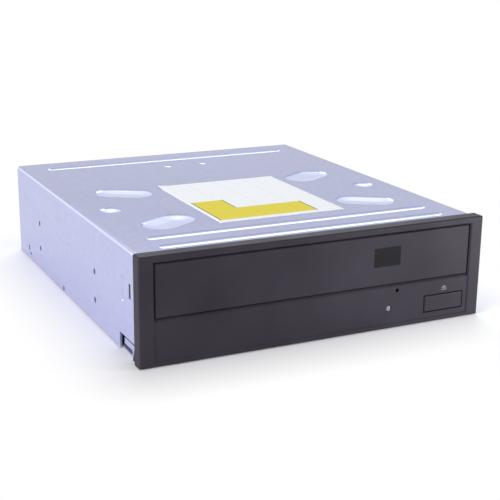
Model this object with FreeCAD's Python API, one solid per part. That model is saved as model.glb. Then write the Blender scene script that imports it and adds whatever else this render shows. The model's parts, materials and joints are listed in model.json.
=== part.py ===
import FreeCAD, Part
import math
import os

# An internal half-height optical disc drive, in millimetres.
# X runs to the right, Y to the rear and Z up. The origin is under the middle of the drive.

# Casing sheet and bezel
SHEET = 0.8
FOLD_RADIUS = 1.4
SEAM = 0.2
EMBOSS_DEPTH = 0.9
BEZEL_DEPTH = 5.5
BEZEL_OVERHANG = 1.0
BEZEL_RISE = 0.7
BEZEL_WALL = 2.2
BEZEL_SKIRT = 1.8
BEZEL_EDGE = 0.8
BEZEL_LIP = 2.0
PANEL_INSET = 0.5

# Discs, and the widths that follow from them
DISC_RADIUS = 60.0
SMALL_DISC_RADIUS = 40.0
TRAY_HALF = DISC_RADIUS + 5.6
GUIDE_GAP = 0.4
GUIDE_HALF = TRAY_HALF + GUIDE_GAP
FRAME_WALL = 1.6
FRAME_CLEARANCE = 4.6
CASE_INNER = GUIDE_HALF + FRAME_WALL + FRAME_CLEARANCE
CASE_SIDE = CASE_INNER + SHEET
BEZEL_HALF = CASE_SIDE + BEZEL_OVERHANG

# Depths: disc behind the bezel, pickup track behind the spindle, pivot behind that
INNER_TRACK = 23.0
PICKUP_TRAVEL = 35.0
CARRIAGE_REACH = 11.0
SPINDLE_SETBACK = DISC_RADIUS + 10.0
PIVOT_SETBACK = INNER_TRACK + CARRIAGE_REACH + PICKUP_TRAVEL + 11.0
PIVOT_TO_REAR = 20.0
DEPTH = SPINDLE_SETBACK + PIVOT_SETBACK + PIVOT_TO_REAR
FRONT = -DEPTH / 2
REAR = DEPTH / 2
SPINDLE_Y = FRONT + SPINDLE_SETBACK
PIVOT_Y = SPINDLE_Y + PIVOT_SETBACK
CASE_FRONT = FRONT + BEZEL_DEPTH
PANEL_FRONT = FRONT + PANEL_INSET
PANEL_BACK = PANEL_FRONT + BEZEL_WALL

# Heights: frame floor, gears, belt, rack, tray, clamper bridge and case
FRAME_FLOOR = 9.0
FRAME_PLATE = 1.5
GEAR_LOW = FRAME_FLOOR + FRAME_PLATE + 0.5
GEAR_FACE = 3.0
PULLEY_LOW = GEAR_LOW + GEAR_FACE + 1.0
PULLEY_FACE = 3.0
RACK_LOW = PULLEY_LOW + PULLEY_FACE + 0.6
RACK_FACE = 2.6
TRAY_BOTTOM = RACK_LOW + RACK_FACE + 0.3
TRAY_FLOOR = 2.0
TRAY_RIM = 2.0
DISC_SEAT = TRAY_BOTTOM + TRAY_FLOOR
TRAY_TOP = DISC_SEAT + TRAY_RIM
BRIDGE_LOW = TRAY_TOP + 5.9
CASE_HEIGHT = BRIDGE_LOW + 9.9
HEIGHT = CASE_HEIGHT + BEZEL_RISE

# Front panel
DOOR_HALF = GUIDE_HALF + 1.8
DOOR_LOW = TRAY_BOTTOM - 3.2
DOOR_HIGH = HEIGHT - 3.2
DOOR_GAP = 0.4
BUTTON_WIDTH = 18.2
BUTTON_RIGHT = DOOR_HALF - 1.8
BUTTON_LEFT = BUTTON_RIGHT - BUTTON_WIDTH
BUTTON_LOW = 4.4
BUTTON_HIGH = 11.0
BUTTON_GAP = 0.4
BUTTON_TRAVEL = 1.0
BUTTON_FLANGE_HIGH = GEAR_LOW - 0.6
COLLAR_DEPTH = 4.0
LAMP_X = BUTTON_LEFT - 17.0
LAMP_Z = 8.2
LAMP_RADIUS = 1.2
RELEASE_X = LAMP_X + 3.8
RELEASE_Z = DOOR_LOW - 2.9
RELEASE_RADIUS = 0.8

# Mounting screws of the drive bay
MOUNT_HOLE_RADIUS = 1.25
MOUNT_FIRST_Y = CASE_FRONT + 47.4
MOUNT_PITCH = 79.25
SIDE_MOUNT_LOW = 10.0
SIDE_MOUNT_HIGH = 21.84
BOTTOM_MOUNT_HALF = CASE_SIDE - 3.15

# Tray
TRAY_TRAVEL = SPINDLE_SETBACK + DISC_RADIUS + 6.0
CARRIAGE_HALF = 19.5
TRAY_SLOT_HALF = CARRIAGE_HALF + 0.5
TRAY_FRONT = PANEL_BACK + SEAM
TRAY_REAR = REAR - 5.1
PEG_X = 45.0
PEG_Z = TRAY_BOTTOM + 5.5

# Plastic main frame and its rails
FRAME_FRONT = CASE_FRONT + 4.5
FRAME_REAR = REAR - 3.0
FRAME_TOP = TRAY_TOP + 2.0
FRAME_BASE = SHEET
PLATE_UPPER = FRAME_FLOOR + FRAME_PLATE
BOSS_RADIUS = 3.0
BOSS_X = GUIDE_HALF - 6.0
BOSS_FRONT_Y = FRONT + 30.0
BOSS_REAR_Y = REAR - 10.0

# Loading gears: tray rack, drive gear, pulley gear, belt and motor
RACK_MODULE = 1.0
RACK_PINION_TEETH = 22
TRAIN_MODULE = 0.8
WHEEL_TEETH = 36
PINION_TEETH = 12
BACKLASH = 0.16
RACK_X = TRAY_HALF - 14.6
DRIVE_X = RACK_X - RACK_MODULE * RACK_PINION_TEETH / 2
DRIVE_Y = FRONT + 22.0
PINION_X = DRIVE_X - TRAIN_MODULE * (WHEEL_TEETH + PINION_TEETH) / 2 - 0.1
PULLEY_RADIUS = 12.0
GROOVE_DEPTH = 1.5
MOTOR_X = -20.0
MOTOR_Y = FRONT + 20.0
MOTOR_RADIUS = 12.2
MOTOR_TOP = PULLEY_LOW - FRAME_PLATE - 0.6
MOTOR_PULLEY_RADIUS = 4.2
BELT = 1.2

# Lifting deck, drawn level as it is while a disc plays
LIFT_ANGLE = 5.0
PIVOT_Z = TRAY_BOTTOM - 8.5
PIVOT_RADIUS = 2.5
PIVOT_CLEARANCE = 0.06
LIFT_PIN_X = GUIDE_HALF - 40.0
LIFT_PIN_RADIUS = 1.5

# Cam slider that lifts the deck
SLIDER_THICKNESS = 2.4
SLIDER_FRONT = DRIVE_Y + 17.1
SLIDER_BACK = SLIDER_FRONT + SLIDER_THICKNESS
SLIDER_TRAVEL = 22.0
SLIDER_END = 9.0
SLIDER_LEFT = -LIFT_PIN_X - SLIDER_TRAVEL - SLIDER_END
SLIDER_RIGHT = LIFT_PIN_X + SLIDER_END
SLIDER_LOW = SHEET + 0.2
SLIDER_TOP = PIVOT_Z + 4.5
CAM_CLEARANCE = 0.2
CAM_DWELL = 3.5

# Guide rods and feed screw
ROD_X = CARRIAGE_HALF + 4.0
ROD_Z = PIVOT_Z + 5.5
ROD_RADIUS = 1.5
ROD_FRONT = SPINDLE_Y + 12.4
ROD_REAR = PIVOT_Y - 5.2
SCREW_X = ROD_X + 8.9
SCREW_Z = PIVOT_Z + 1.5
SCREW_RADIUS = 1.5
FEED_MOTOR_RADIUS = 6.5
FEED_MOTOR_LENGTH = 12.0
FEED_MOTOR_FRONT = PIVOT_Y - 23.5
SCREW_FRONT = SPINDLE_Y + 12.2

# Deck ring and traverse plate on its rubber dampers
DECK_HALF = SCREW_X + FEED_MOTOR_RADIUS + 9.1
DECK_BAR = 5.5
DECK_FRONT = SLIDER_BACK + 3.5
DECK_REAR = PIVOT_Y + 3.0
DECK_LOW = PIVOT_Z - 1.4
DECK_HIGH = PIVOT_Z + 2.0
PLATE = 1.2
PLATE_LOW = PIVOT_Z + 1.4
PLATE_TOP = PLATE_LOW + PLATE
PLATE_HALF = DECK_HALF - DECK_BAR - 0.5
PLATE_FRONT = DECK_FRONT + DECK_BAR + 1.0
PLATE_REAR = DECK_REAR - DECK_BAR - 1.0
DAMPER_X = PLATE_HALF - 3.8
DAMPER_RADIUS = 3.4
DAMPER_NECK = 2.2
DAMPER_LIP = 1.3
DAMPER_FRONT_Y = PLATE_FRONT + 4.5
DAMPER_REAR_Y = PLATE_REAR - 4.0

# Spindle
PLAY_HEIGHT = DISC_SEAT + 1.2
TABLE_RADIUS = 14.5
PAD_THICKNESS = 0.8
CONE_HEIGHT = 3.0
CONE_RADIUS = 7.4
ROTOR_RADIUS = 13.0
SHAFT_RADIUS = 1.5
RUNNING = 0.06
PRESSED = 0.02

# Pickup
LENS_Y = SPINDLE_Y + INNER_TRACK
LENS_RADIUS = 3.0
CARRIAGE_FRONT = LENS_Y - 8.0
CARRIAGE_REAR = LENS_Y + CARRIAGE_REACH
CARRIAGE_LOW = PIVOT_Z - 0.2
CARRIAGE_TOP = PIVOT_Z + 7.9
BUSH_RADIUS = 2.6
BUSH_LENGTH = 6.0

# Clamper
BRIDGE_HALF_DEPTH = 17.0
BRIDGE_FLANGE = 4.0
BRIDGE_HOLE = 12.8
CLAMPER_BOTTOM = BRIDGE_LOW - 3.2
CLAMPER_FLANGE_RADIUS = 15.5
MAGNET_RADIUS = 9.4

# Boards and rear connector
BOARD = 1.6
BOARD_LOW = SHEET + 1.8
BOARD_HALF = GUIDE_HALF - 10.0
BOARD_FRONT = SPINDLE_Y + 26.0
BOARD_REAR = REAR - 4.0
BOARD_TOP = BOARD_LOW + BOARD
FRONT_BOARD = 1.2
FRONT_BOARD_LOW = 4.6
FRONT_BOARD_TOP = FRONT_BOARD_LOW + FRONT_BOARD
FRONT_BOARD_FRONT = CASE_FRONT + 4.3
FRONT_FOOT_Y = FRONT + 20.0
SOCKET_LEFT = 1.0 - BOARD_HALF
SOCKET_WIDTH = 40.0
SOCKET_HEIGHT = 8.2
SOCKET_DEPTH = 14.0
CONTACT_PITCH = 1.27


def vec(x, y, z):
    return FreeCAD.Vector(x, y, z)


def block(x0, x1, y0, y1, z0, z1):
    """A box between two corners."""
    return Part.makeBox(x1 - x0, y1 - y0, z1 - z0, vec(x0, y0, z0))


def rod(radius, start, end):
    """A cylinder between two points."""
    line = end.sub(start)
    return Part.makeCylinder(radius, line.Length, start, line)


def upright(radius, x, y, low, high):
    """A cylinder that stands on end."""
    return rod(radius, vec(x, y, low), vec(x, y, high))


def turned(profile, x, y):
    """A solid turned about the upright line through x, y from (radius, z) points."""
    points = [vec(x + radius, y, z) for radius, z in profile]
    face = Part.Face(Part.makePolygon(points + points[:1]))
    return face.revolve(vec(x, y, 0), vec(0, 0, 1), 360)


def slab(points, axis, low, high):
    """A flat outline, given in the plane across the axis, drawn from low to high."""
    if axis == "x":
        corners = [vec(low, a, b) for a, b in points]
        path = vec(high - low, 0, 0)
    elif axis == "y":
        corners = [vec(a, low, b) for a, b in points]
        path = vec(0, high - low, 0)
    else:
        corners = [vec(a, b, low) for a, b in points]
        path = vec(0, 0, high - low)
    return Part.Face(Part.makePolygon(corners + corners[:1])).extrude(path)


def mirrored(shape):
    """The same shape on the other side of the drive."""
    return shape.mirror(vec(0, 0, 0), vec(1, 0, 0))


def pair(shape):
    """The shape and its mirror image."""
    return [shape, mirrored(shape)]


def rounded(shape, radius, chosen):
    """Fillets the edges for which chosen(edge) is true."""
    edges = [edge for edge in shape.Edges if chosen(edge)]
    return shape.makeFillet(radius, edges)


def joined(*shapes):
    """One solid from pieces that touch, with no leftover seams."""
    return shapes[0].multiFuse(list(shapes[1:])).removeSplitter()


def lowered(shape):
    """A piece of the level deck, swung down to where the deck rests while the tray moves."""
    copy = shape.copy()
    copy.rotate(vec(0, PIVOT_Y, PIVOT_Z), vec(1, 0, 0), LIFT_ANGLE)
    return copy


def save(name, *shapes):
    """Writes one node, as one solid or as a group of separate solids."""
    solids = [solid for shape in shapes for solid in shape.Solids]
    shape = solids[0] if len(solids) == 1 else Part.makeCompound(solids)
    shape.exportStep("parts/" + name + ".step")


def stadium(length, width, z):
    """A wire with two straight sides and round ends, along X about the origin."""
    half = (length - width) / 2
    radius = width / 2
    right = vec(half, radius, z), vec(half + radius, 0, z), vec(half, -radius, z)
    left = vec(-half, -radius, z), vec(-half - radius, 0, z), vec(-half, radius, z)
    edges = [
        Part.LineSegment(left[2], right[0]).toShape(),
        Part.Arc(*right).toShape(),
        Part.LineSegment(right[2], left[0]).toShape(),
        Part.Arc(*left).toShape(),
    ]
    return Part.Wire(edges)


def circle(radius, z):
    return Part.Wire(Part.makeCircle(radius, vec(0, 0, z)))


def embossed(sheet, outline, depth, reach, placement):
    """Presses an outline(shrink, z) into a sheet: a steep rim, then a shallow slope as far in as reach.

    Local +Z faces outwards."""
    steps = ((0, 0), (depth, depth * 0.6), (reach, depth))
    dent = Part.makeLoft([outline(shrink, -drop) for shrink, drop in steps], True, True)
    bulge = Part.makeLoft([outline(shrink, -SHEET - drop) for shrink, drop in steps], True, True)
    dent.Placement = placement
    bulge.Placement = placement
    return sheet.fuse(bulge).cut(dent)


def on_top(x, y, turn):
    """Placement of an emboss on the top sheet."""
    return FreeCAD.Placement(vec(x, y, CASE_HEIGHT), FreeCAD.Rotation(vec(0, 0, 1), turn))


def on_side(side, y, z):
    """Placement of an emboss on a side sheet, with its length upright."""
    turn = FreeCAD.Rotation(vec(0, 1, 0), 90 * side)
    return FreeCAD.Placement(vec(side * CASE_SIDE, y, z), turn)


def gear_outline(teeth, module, z):
    """A closed outline of straight-flanked teeth, with the play taken from each tooth."""
    pitch_radius = teeth * module / 2
    step = 2 * math.pi / teeth
    half_pitch = step / 4 - BACKLASH / 4 / pitch_radius
    levels = (
        (pitch_radius - 1.15 * module, half_pitch * 1.55),
        (pitch_radius, half_pitch),
        (pitch_radius + 0.95 * module, half_pitch * 0.5),
    )
    corners = []
    for tooth in range(teeth):
        middle = tooth * step
        for radius, half in levels:
            corners.append(vec(radius * math.cos(middle - half), radius * math.sin(middle - half), z))
        for radius, half in reversed(levels):
            corners.append(vec(radius * math.cos(middle + half), radius * math.sin(middle + half), z))
    return Part.makePolygon(corners + corners[:1])


def gear(teeth, module, x, y, low, face, turn):
    """A spur gear, with a tooth that points along turn, in degrees."""
    blank = Part.Face(gear_outline(teeth, module, 0)).extrude(vec(0, 0, face))
    blank.rotate(vec(0, 0, 0), vec(0, 0, 1), turn)
    blank.translate(vec(x, y, low))
    return blank


def rack_points(module, teeth, start, line, facing):
    """Tooth corners of a straight rack along one axis. line is its pitch line."""
    pitch = math.pi * module
    half = pitch / 4 - BACKLASH / 4
    tip = line + facing * 0.95 * module
    root = line - facing * 1.15 * module
    lean = math.tan(math.radians(20)) * module
    points = []
    for tooth in range(teeth):
        middle = start + tooth * pitch
        points.append((root, middle - half - lean * 1.15))
        points.append((tip, middle - half + lean * 0.95))
        points.append((tip, middle + half - lean * 0.95))
        points.append((root, middle + half + lean * 1.15))
    return points


def folded_box():
    """The bare wrap-around sheet: top, two sides and rear wall, open below and in front."""
    outer = block(-CASE_SIDE, CASE_SIDE, CASE_FRONT, REAR, 0, CASE_HEIGHT)
    inner = block(-CASE_INNER, CASE_INNER, CASE_FRONT - 10, REAR - SHEET, -10, CASE_HEIGHT - SHEET)

    def fold(edge):
        box = edge.BoundBox
        along_top = box.ZMin > CASE_HEIGHT - 2 * SHEET and box.YMax > CASE_FRONT + 1
        down_rear = box.YMin > REAR - 2 * SHEET and box.ZLength > 5
        return along_top or down_rear

    shell = rounded(outer, FOLD_RADIUS, fold).cut(rounded(inner, FOLD_RADIUS - SHEET, fold))
    return shell


def side_features(sheet):
    """Screw holes, latch slots, cut-outs and creases of the two side sheets."""
    for side in (-1, 1):
        outward = side * (CASE_SIDE + 1)
        collar_end = side * (CASE_INNER - 1.2)
        for y in (MOUNT_FIRST_Y, MOUNT_FIRST_Y + MOUNT_PITCH):
            for z in (SIDE_MOUNT_LOW, SIDE_MOUNT_HIGH):
                collar = rod(MOUNT_HOLE_RADIUS + 0.7, vec(collar_end, y, z), vec(side * CASE_INNER, y, z))
                hole = rod(MOUNT_HOLE_RADIUS, vec(collar_end - side, y, z), vec(outward, y, z))
                sheet = sheet.fuse(collar).cut(hole)
        inward = side * (CASE_INNER - 1)
        low, high = min(inward, outward), max(inward, outward)
        latch = block(low, high, FRONT + 11.3, FRONT + 13.1, 23.0, 28.7)
        foot = block(low, high, CASE_FRONT - 1, FRONT + 24.0, -1, 6.7)
        wing = slab(wing_outline(SEAM), "x", low, high)
        notch = block(low, high, SPINDLE_Y + 25.5, SPINDLE_Y + 28.0, -1, 2.6)
        tab_hole = rod(1.3, vec(low, REAR - 17.7, 5.2), vec(high, REAR - 17.7, 5.2))
        tab_slit = block(low, high, REAR - 21.8, REAR - 19.0, 2.4, 3.4)
        sheet = sheet.cut(latch).cut(foot).cut(wing).cut(notch).cut(tab_hole).cut(tab_slit)
        sheet = embossed(sheet, crease, 0.4, 1.0, on_side(side, FRONT + 19.5, 25.0))
    return sheet


def wing_outline(gap):
    """The slanted lower corner that belongs to the bezel, as (y, z) points."""
    top = 12.0 + 4 * gap
    back = FRONT + 10.2 + gap
    return [(CASE_FRONT - gap, top), (CASE_FRONT - gap, -gap), (back, -gap)]


def crease(shrink, z):
    return stadium(11.0 - shrink, 2.0 - shrink, z)


def diagonal_dish(shrink, z):
    return stadium(25.5 - 2 * shrink, 15.0 - 2 * shrink, z)


def cross_groove(shrink, z):
    return stadium(2 * CASE_SIDE - 22.0 - 2 * shrink, 4.6 - 2 * shrink, z)


def round_dish(shrink, z):
    return circle(4.6 - shrink, z)


def small_dimple(shrink, z):
    return circle(2.1 - shrink, z)


def top_case():
    """Folded steel top with pressed stiffeners, tapped screw holes and the rear opening."""
    sheet = folded_box()
    for y in (FRONT + 12.0, FRONT + 24.2, REAR - 14.5):
        sheet = embossed(sheet, cross_groove, EMBOSS_DEPTH, 2.1, on_top(0, y, 0))
    for side in (-1, 1):
        for end in (-1, 1):
            across, along = (CASE_SIDE - 28.0) * side, 26.0 * end
            place = on_top(across, SPINDLE_Y + along, math.degrees(math.atan2(along, across)))
            sheet = embossed(sheet, diagonal_dish, EMBOSS_DEPTH, 5.5, place)
        place = on_top((CASE_SIDE - 13.0) * side, SPINDLE_Y, 0)
        sheet = embossed(sheet, round_dish, EMBOSS_DEPTH, 3.6, place)
        place = on_top(2.6 + 9.1 * side, REAR - 29.0, 0)
        sheet = embossed(sheet, small_dimple, 0.5, 1.4, place)
    sheet = side_features(sheet)
    window = block(SOCKET_LEFT - 1, SOCKET_LEFT + SOCKET_WIDTH + 1, REAR - 5, REAR + 1,
                   BOARD_LOW, BOARD_TOP + SOCKET_HEIGHT + 0.6)
    lower_edge = block(-CASE_SIDE, CASE_SIDE, REAR - SHEET - 0.01, REAR + 1, -1, SHEET + SEAM)
    return sheet.cut(window).cut(lower_edge).removeSplitter()


def screw(x, y, seat, head_radius, head, shank_radius, shank, up):
    """A pan-head screw whose head stands on the seat. up is 1 for a head on top, -1 for one below."""
    head_top = seat + up * head
    tip = seat - up * shank
    head_solid = rod(head_radius, vec(x, y, seat), vec(x, y, head_top))
    head_solid = rounded(head_solid, head * 0.45,
                         lambda edge: abs(edge.BoundBox.ZMin - head_top) < 0.01
                         and abs(edge.BoundBox.ZMax - head_top) < 0.01)
    recess = cross_recess(x, y, head_top, up)
    return joined(head_solid, rod(shank_radius, vec(x, y, seat), vec(x, y, tip))).cut(recess)


def cross_recess(x, y, head_top, up):
    """The cross-shaped driver recess of a screw head."""
    low = min(head_top - up * 0.6, head_top + up)
    high = max(head_top - up * 0.6, head_top + up)
    bar = block(x - 1.1, x + 1.1, y - 0.25, y + 0.25, low, high)
    return bar.fuse(block(x - 0.25, x + 0.25, y - 1.1, y + 1.1, low, high))


def cover_screw_places():
    return [(x, y) for x in (-BOSS_X, BOSS_X) for y in (BOSS_FRONT_Y, BOSS_REAR_Y)]


def bottom_mount_places():
    half = BOTTOM_MOUNT_HALF
    return [(x, y) for x in (-half, half) for y in (MOUNT_FIRST_Y, MOUNT_FIRST_Y + MOUNT_PITCH)]


def board_screw_places():
    half = BOARD_HALF - 6.0
    return [(x, y) for x in (-half, half) for y in (BOARD_FRONT + 4.0, BOARD_REAR - SOCKET_DEPTH - 6.0)]


def bottom_cover():
    """Flat steel bottom with upturned lips, screw dimples, stand-offs and tapped holes."""
    half = CASE_INNER - SEAM
    front = CASE_FRONT + SEAM
    rear = REAR - SHEET - SEAM
    cover = block(-half, half, front, rear, 0, SHEET)
    lips = []
    lips += pair(block(half - SHEET, half, FRONT + 26.0, rear - 6.0, SHEET, 7.5))
    lips += pair(block(half - SHEET, half, FRONT + 10.6, FRONT + 13.0, SHEET, 5.0))
    lips += pair(block(half - SHEET, half, FRONT + 13.0, FRONT + 21.5, 2.6, 5.0))
    lips.append(block(-half + 4, half - 4, rear - SHEET, rear, SHEET, BOARD_LOW - 0.4))
    cover = joined(cover, *lips)
    for x, y in bottom_mount_places():
        cover = cover.fuse(upright(MOUNT_HOLE_RADIUS + 0.7, x, y, SHEET, SHEET + 1.2))
        cover = cover.cut(upright(MOUNT_HOLE_RADIUS, x, y, -1, SHEET + 2))
    for x, y in board_screw_places():
        cover = cover.fuse(upright(2.4, x, y, SHEET, BOARD_LOW))
        cover = cover.cut(upright(1.1, x, y, -1, BOARD_LOW + 1))
    for x, y in cover_screw_places():
        dish = turned([(0, -1), (4.2, -1), (4.2, 0), (3.2, 1.0), (0, 1.0)], x, y)
        bulge = turned([(0, SHEET), (4.2, SHEET), (3.2, SHEET + 1.0), (0, SHEET + 1.0)], x, y)
        cover = cover.fuse(bulge).cut(dish).cut(upright(1.5, x, y, -1, 5))
    for y in (SPINDLE_Y - 12.0, SPINDLE_Y + 12.0):
        for x in (38.2 - CASE_INNER, CASE_INNER - 38.2):
            cover = bottom_bead(cover, x, y)
    return cover.removeSplitter()


def bottom_bead(cover, x, y):
    """A stiffening bead pressed up into the bottom sheet."""
    steps = ((0, 0), (0.5, 0.5))
    dent = Part.makeLoft([stadium(44.0 - 2 * shrink, 9.0 - 2 * shrink, rise)
                          for shrink, rise in steps], True, True)
    bulge = Part.makeLoft([stadium(44.0 - 2 * shrink, 9.0 - 2 * shrink, SHEET + rise)
                           for shrink, rise in steps], True, True)
    dent.translate(vec(x, y, 0))
    bulge.translate(vec(x, y, 0))
    return cover.fuse(bulge).cut(dent)


def bottom_cover_screws():
    return [screw(x, y, 1.0, 2.7, 0.9, 1.25, 5.5, -1) for x, y in cover_screw_places()]


def opening_wire(grow, y):
    """The rectangle of the sunk front panel, at a depth behind the front."""
    half = DOOR_HALF + DOOR_GAP + grow
    low = BEZEL_LIP - grow
    high = DOOR_HIGH + DOOR_GAP + grow
    corners = [vec(-half, y, low), vec(half, y, low), vec(half, y, high), vec(-half, y, high)]
    return Part.makePolygon(corners + corners[:1])


def front_bezel():
    """Moulded front: raised frame, sunk panel, door opening, button collar, lamp boss and latches."""
    half = BEZEL_HALF
    body = block(-half, half, FRONT, CASE_FRONT, 0, HEIGHT)
    body = rounded(body, BEZEL_EDGE, lambda edge: edge.BoundBox.YMax < FRONT + 0.1
                   or edge.BoundBox.YLength > BEZEL_DEPTH - 1 and edge.BoundBox.ZMin > 1)
    hollow = block(-half + BEZEL_SKIRT, half - BEZEL_SKIRT, PANEL_BACK, CASE_FRONT + 1,
                   BEZEL_SKIRT, HEIGHT - BEZEL_SKIRT)
    sunk = Part.makeLoft([opening_wire(0.5, FRONT - 0.01), opening_wire(0.0, PANEL_FRONT)], True, True)
    opening_half = DOOR_HALF + DOOR_GAP
    opening = block(-opening_half, opening_half, FRONT - 1, CASE_FRONT + 1,
                    DOOR_LOW - DOOR_GAP, DOOR_HIGH + DOOR_GAP)
    sill = DOOR_LOW - DOOR_GAP
    bevel = slab([(PANEL_FRONT - 1, sill + 1), (PANEL_FRONT - 1, sill - 1.8), (PANEL_FRONT + 0.8, sill)],
                 "x", -opening_half, opening_half)
    body = body.cut(hollow).cut(sunk).cut(opening).cut(bevel)
    collar_end = PANEL_BACK + COLLAR_DEPTH
    frame_in = [BUTTON_LEFT - BUTTON_GAP, BUTTON_RIGHT + BUTTON_GAP]
    frame_z = [BUTTON_LOW - BUTTON_GAP, BUTTON_HIGH + BUTTON_GAP]
    collar = block(frame_in[0] - 1.2, frame_in[1] + 1.2, PANEL_FRONT + 1, collar_end,
                   frame_z[0] - 1.2, frame_z[1] + 1.2)
    button_hole = block(frame_in[0], frame_in[1], FRONT - 1, collar_end + 1, frame_z[0], frame_z[1])
    lamp_boss = rod(LAMP_RADIUS + 1.2, vec(LAMP_X, PANEL_FRONT + 1, LAMP_Z),
                    vec(LAMP_X, PANEL_BACK + 2.5, LAMP_Z))
    lamp_hole = rod(LAMP_RADIUS + RUNNING, vec(LAMP_X, FRONT - 1, LAMP_Z),
                    vec(LAMP_X, CASE_FRONT + 2, LAMP_Z))
    release = rod(RELEASE_RADIUS, vec(RELEASE_X, FRONT - 1, RELEASE_Z),
                  vec(RELEASE_X, CASE_FRONT, RELEASE_Z))
    additions = [collar, lamp_boss]
    additions += pair(slab(wing_outline(0), "x", CASE_INNER, CASE_SIDE))
    additions += pair(latch_arm())
    body = joined(body, *additions)
    return body.cut(button_hole).cut(lamp_hole).cut(release)


def latch_arm():
    """A springy arm behind the bezel, whose nub sits in the slot of the side sheet."""
    arm = block(CASE_INNER - 1.4, CASE_INNER - 0.2, PANEL_BACK, FRONT + 15.0, 22.2, 29.5)
    nub = slab([(CASE_INNER - 0.3, FRONT + 11.6), (CASE_SIDE - 0.1, FRONT + 12.0),
                (CASE_SIDE - 0.1, FRONT + 12.9), (CASE_INNER - 0.3, FRONT + 12.9)], "z", 23.3, 28.4)
    return joined(arm, nub)


def tray_door():
    """Front cover of the tray, with bevelled edges, two back ribs and two pegs."""
    back = PANEL_BACK
    body = block(-DOOR_HALF, DOOR_HALF, PANEL_FRONT, back, DOOR_LOW, DOOR_HIGH)
    body = body.makeChamfer(0.4, [edge for edge in body.Edges if edge.BoundBox.YMax < PANEL_FRONT + 0.1])
    hollow = block(-DOOR_HALF + 1.5, DOOR_HALF - 1.5, PANEL_FRONT + 1.5, back + 1,
                   DOOR_LOW + 1.5, DOOR_HIGH - 1.5)
    body = body.cut(hollow)
    parts = []
    for x in (-PEG_X, 0.0, PEG_X):
        parts.append(block(x - 6, x + 6, PANEL_FRONT + 1.4, back, DOOR_LOW + 1.4, PEG_Z + 2.5))
    for x in (-PEG_X, PEG_X):
        parts.append(rod(1.5, vec(x, back - 0.2, PEG_Z), vec(x, TRAY_FRONT + 1.8, PEG_Z)))
    return joined(body, *parts)


def disc_tray():
    """Tray with stepped disc recess, spindle slot, side runners, front wall and rack."""
    rim_half = TRAY_HALF - 3.9
    floor = block(-TRAY_HALF, TRAY_HALF, TRAY_FRONT, TRAY_REAR, TRAY_BOTTOM, DISC_SEAT)
    floor = rounded(floor, 3.0, lambda edge: edge.BoundBox.ZLength > 1 and edge.BoundBox.YMin > 0)
    rim = block(-rim_half, rim_half, TRAY_FRONT, TRAY_REAR - 1.0, DISC_SEAT, TRAY_TOP)
    wall_half = TRAY_HALF - 7.6
    front_wall = block(-wall_half, wall_half, TRAY_FRONT, TRAY_FRONT + 1.8, TRAY_BOTTOM, PEG_Z + 3.0)
    rack_root = RACK_X + RACK_MODULE * 1.15
    teeth = rack_points(RACK_MODULE, rack_teeth(), DRIVE_Y - math.pi * RACK_MODULE / 2, RACK_X, -1)
    back_of_rack = rack_root + 2.2
    outline = teeth + [(back_of_rack, teeth[-1][1]), (back_of_rack, teeth[0][1])]
    rack = slab(outline, "z", RACK_LOW, TRAY_BOTTOM)
    tray = joined(floor, rim, front_wall, rack)
    recess = turned([(0, DISC_SEAT), (DISC_RADIUS + 0.8, DISC_SEAT), (DISC_RADIUS + 1.6, TRAY_TOP + 1),
                     (0, TRAY_TOP + 1)], 0, SPINDLE_Y)
    small_recess = turned([(0, DISC_SEAT - 1.1), (SMALL_DISC_RADIUS + 0.6, DISC_SEAT - 1.1),
                           (SMALL_DISC_RADIUS + 1.2, DISC_SEAT + 1), (0, DISC_SEAT + 1)], 0, SPINDLE_Y)
    slot = block(-TRAY_SLOT_HALF, TRAY_SLOT_HALF, SPINDLE_Y, PIVOT_Y - 11.0, TRAY_BOTTOM - 1, TRAY_TOP + 1)
    slot = rounded(slot, 6.0,
                   lambda edge: edge.BoundBox.ZLength > 1 and edge.BoundBox.YMin > SPINDLE_Y + 1)
    nose = upright(TRAY_SLOT_HALF, 0, SPINDLE_Y, TRAY_BOTTOM - 1, TRAY_TOP + 1)
    tray = tray.cut(recess).cut(small_recess).cut(slot).cut(nose)
    for x in (-PEG_X, PEG_X):
        tray = tray.cut(rod(1.6, vec(x, TRAY_FRONT - 1, PEG_Z), vec(x, TRAY_FRONT + 3, PEG_Z)))
    finger_floor = TRAY_BOTTOM + 0.9
    for side in (-1, 1):
        notch = turned([(0, finger_floor), (8.0, finger_floor), (9.0, TRAY_TOP + 1), (0, TRAY_TOP + 1)],
                       side * 36.0, SPINDLE_Y - DISC_RADIUS + 10.0)
        tray = tray.cut(notch)
    return tray.removeSplitter()


def rack_teeth():
    """Teeth enough for the whole travel, with some to spare behind."""
    return int((TRAY_TRAVEL + 8.0) / (math.pi * RACK_MODULE)) + 1


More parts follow.
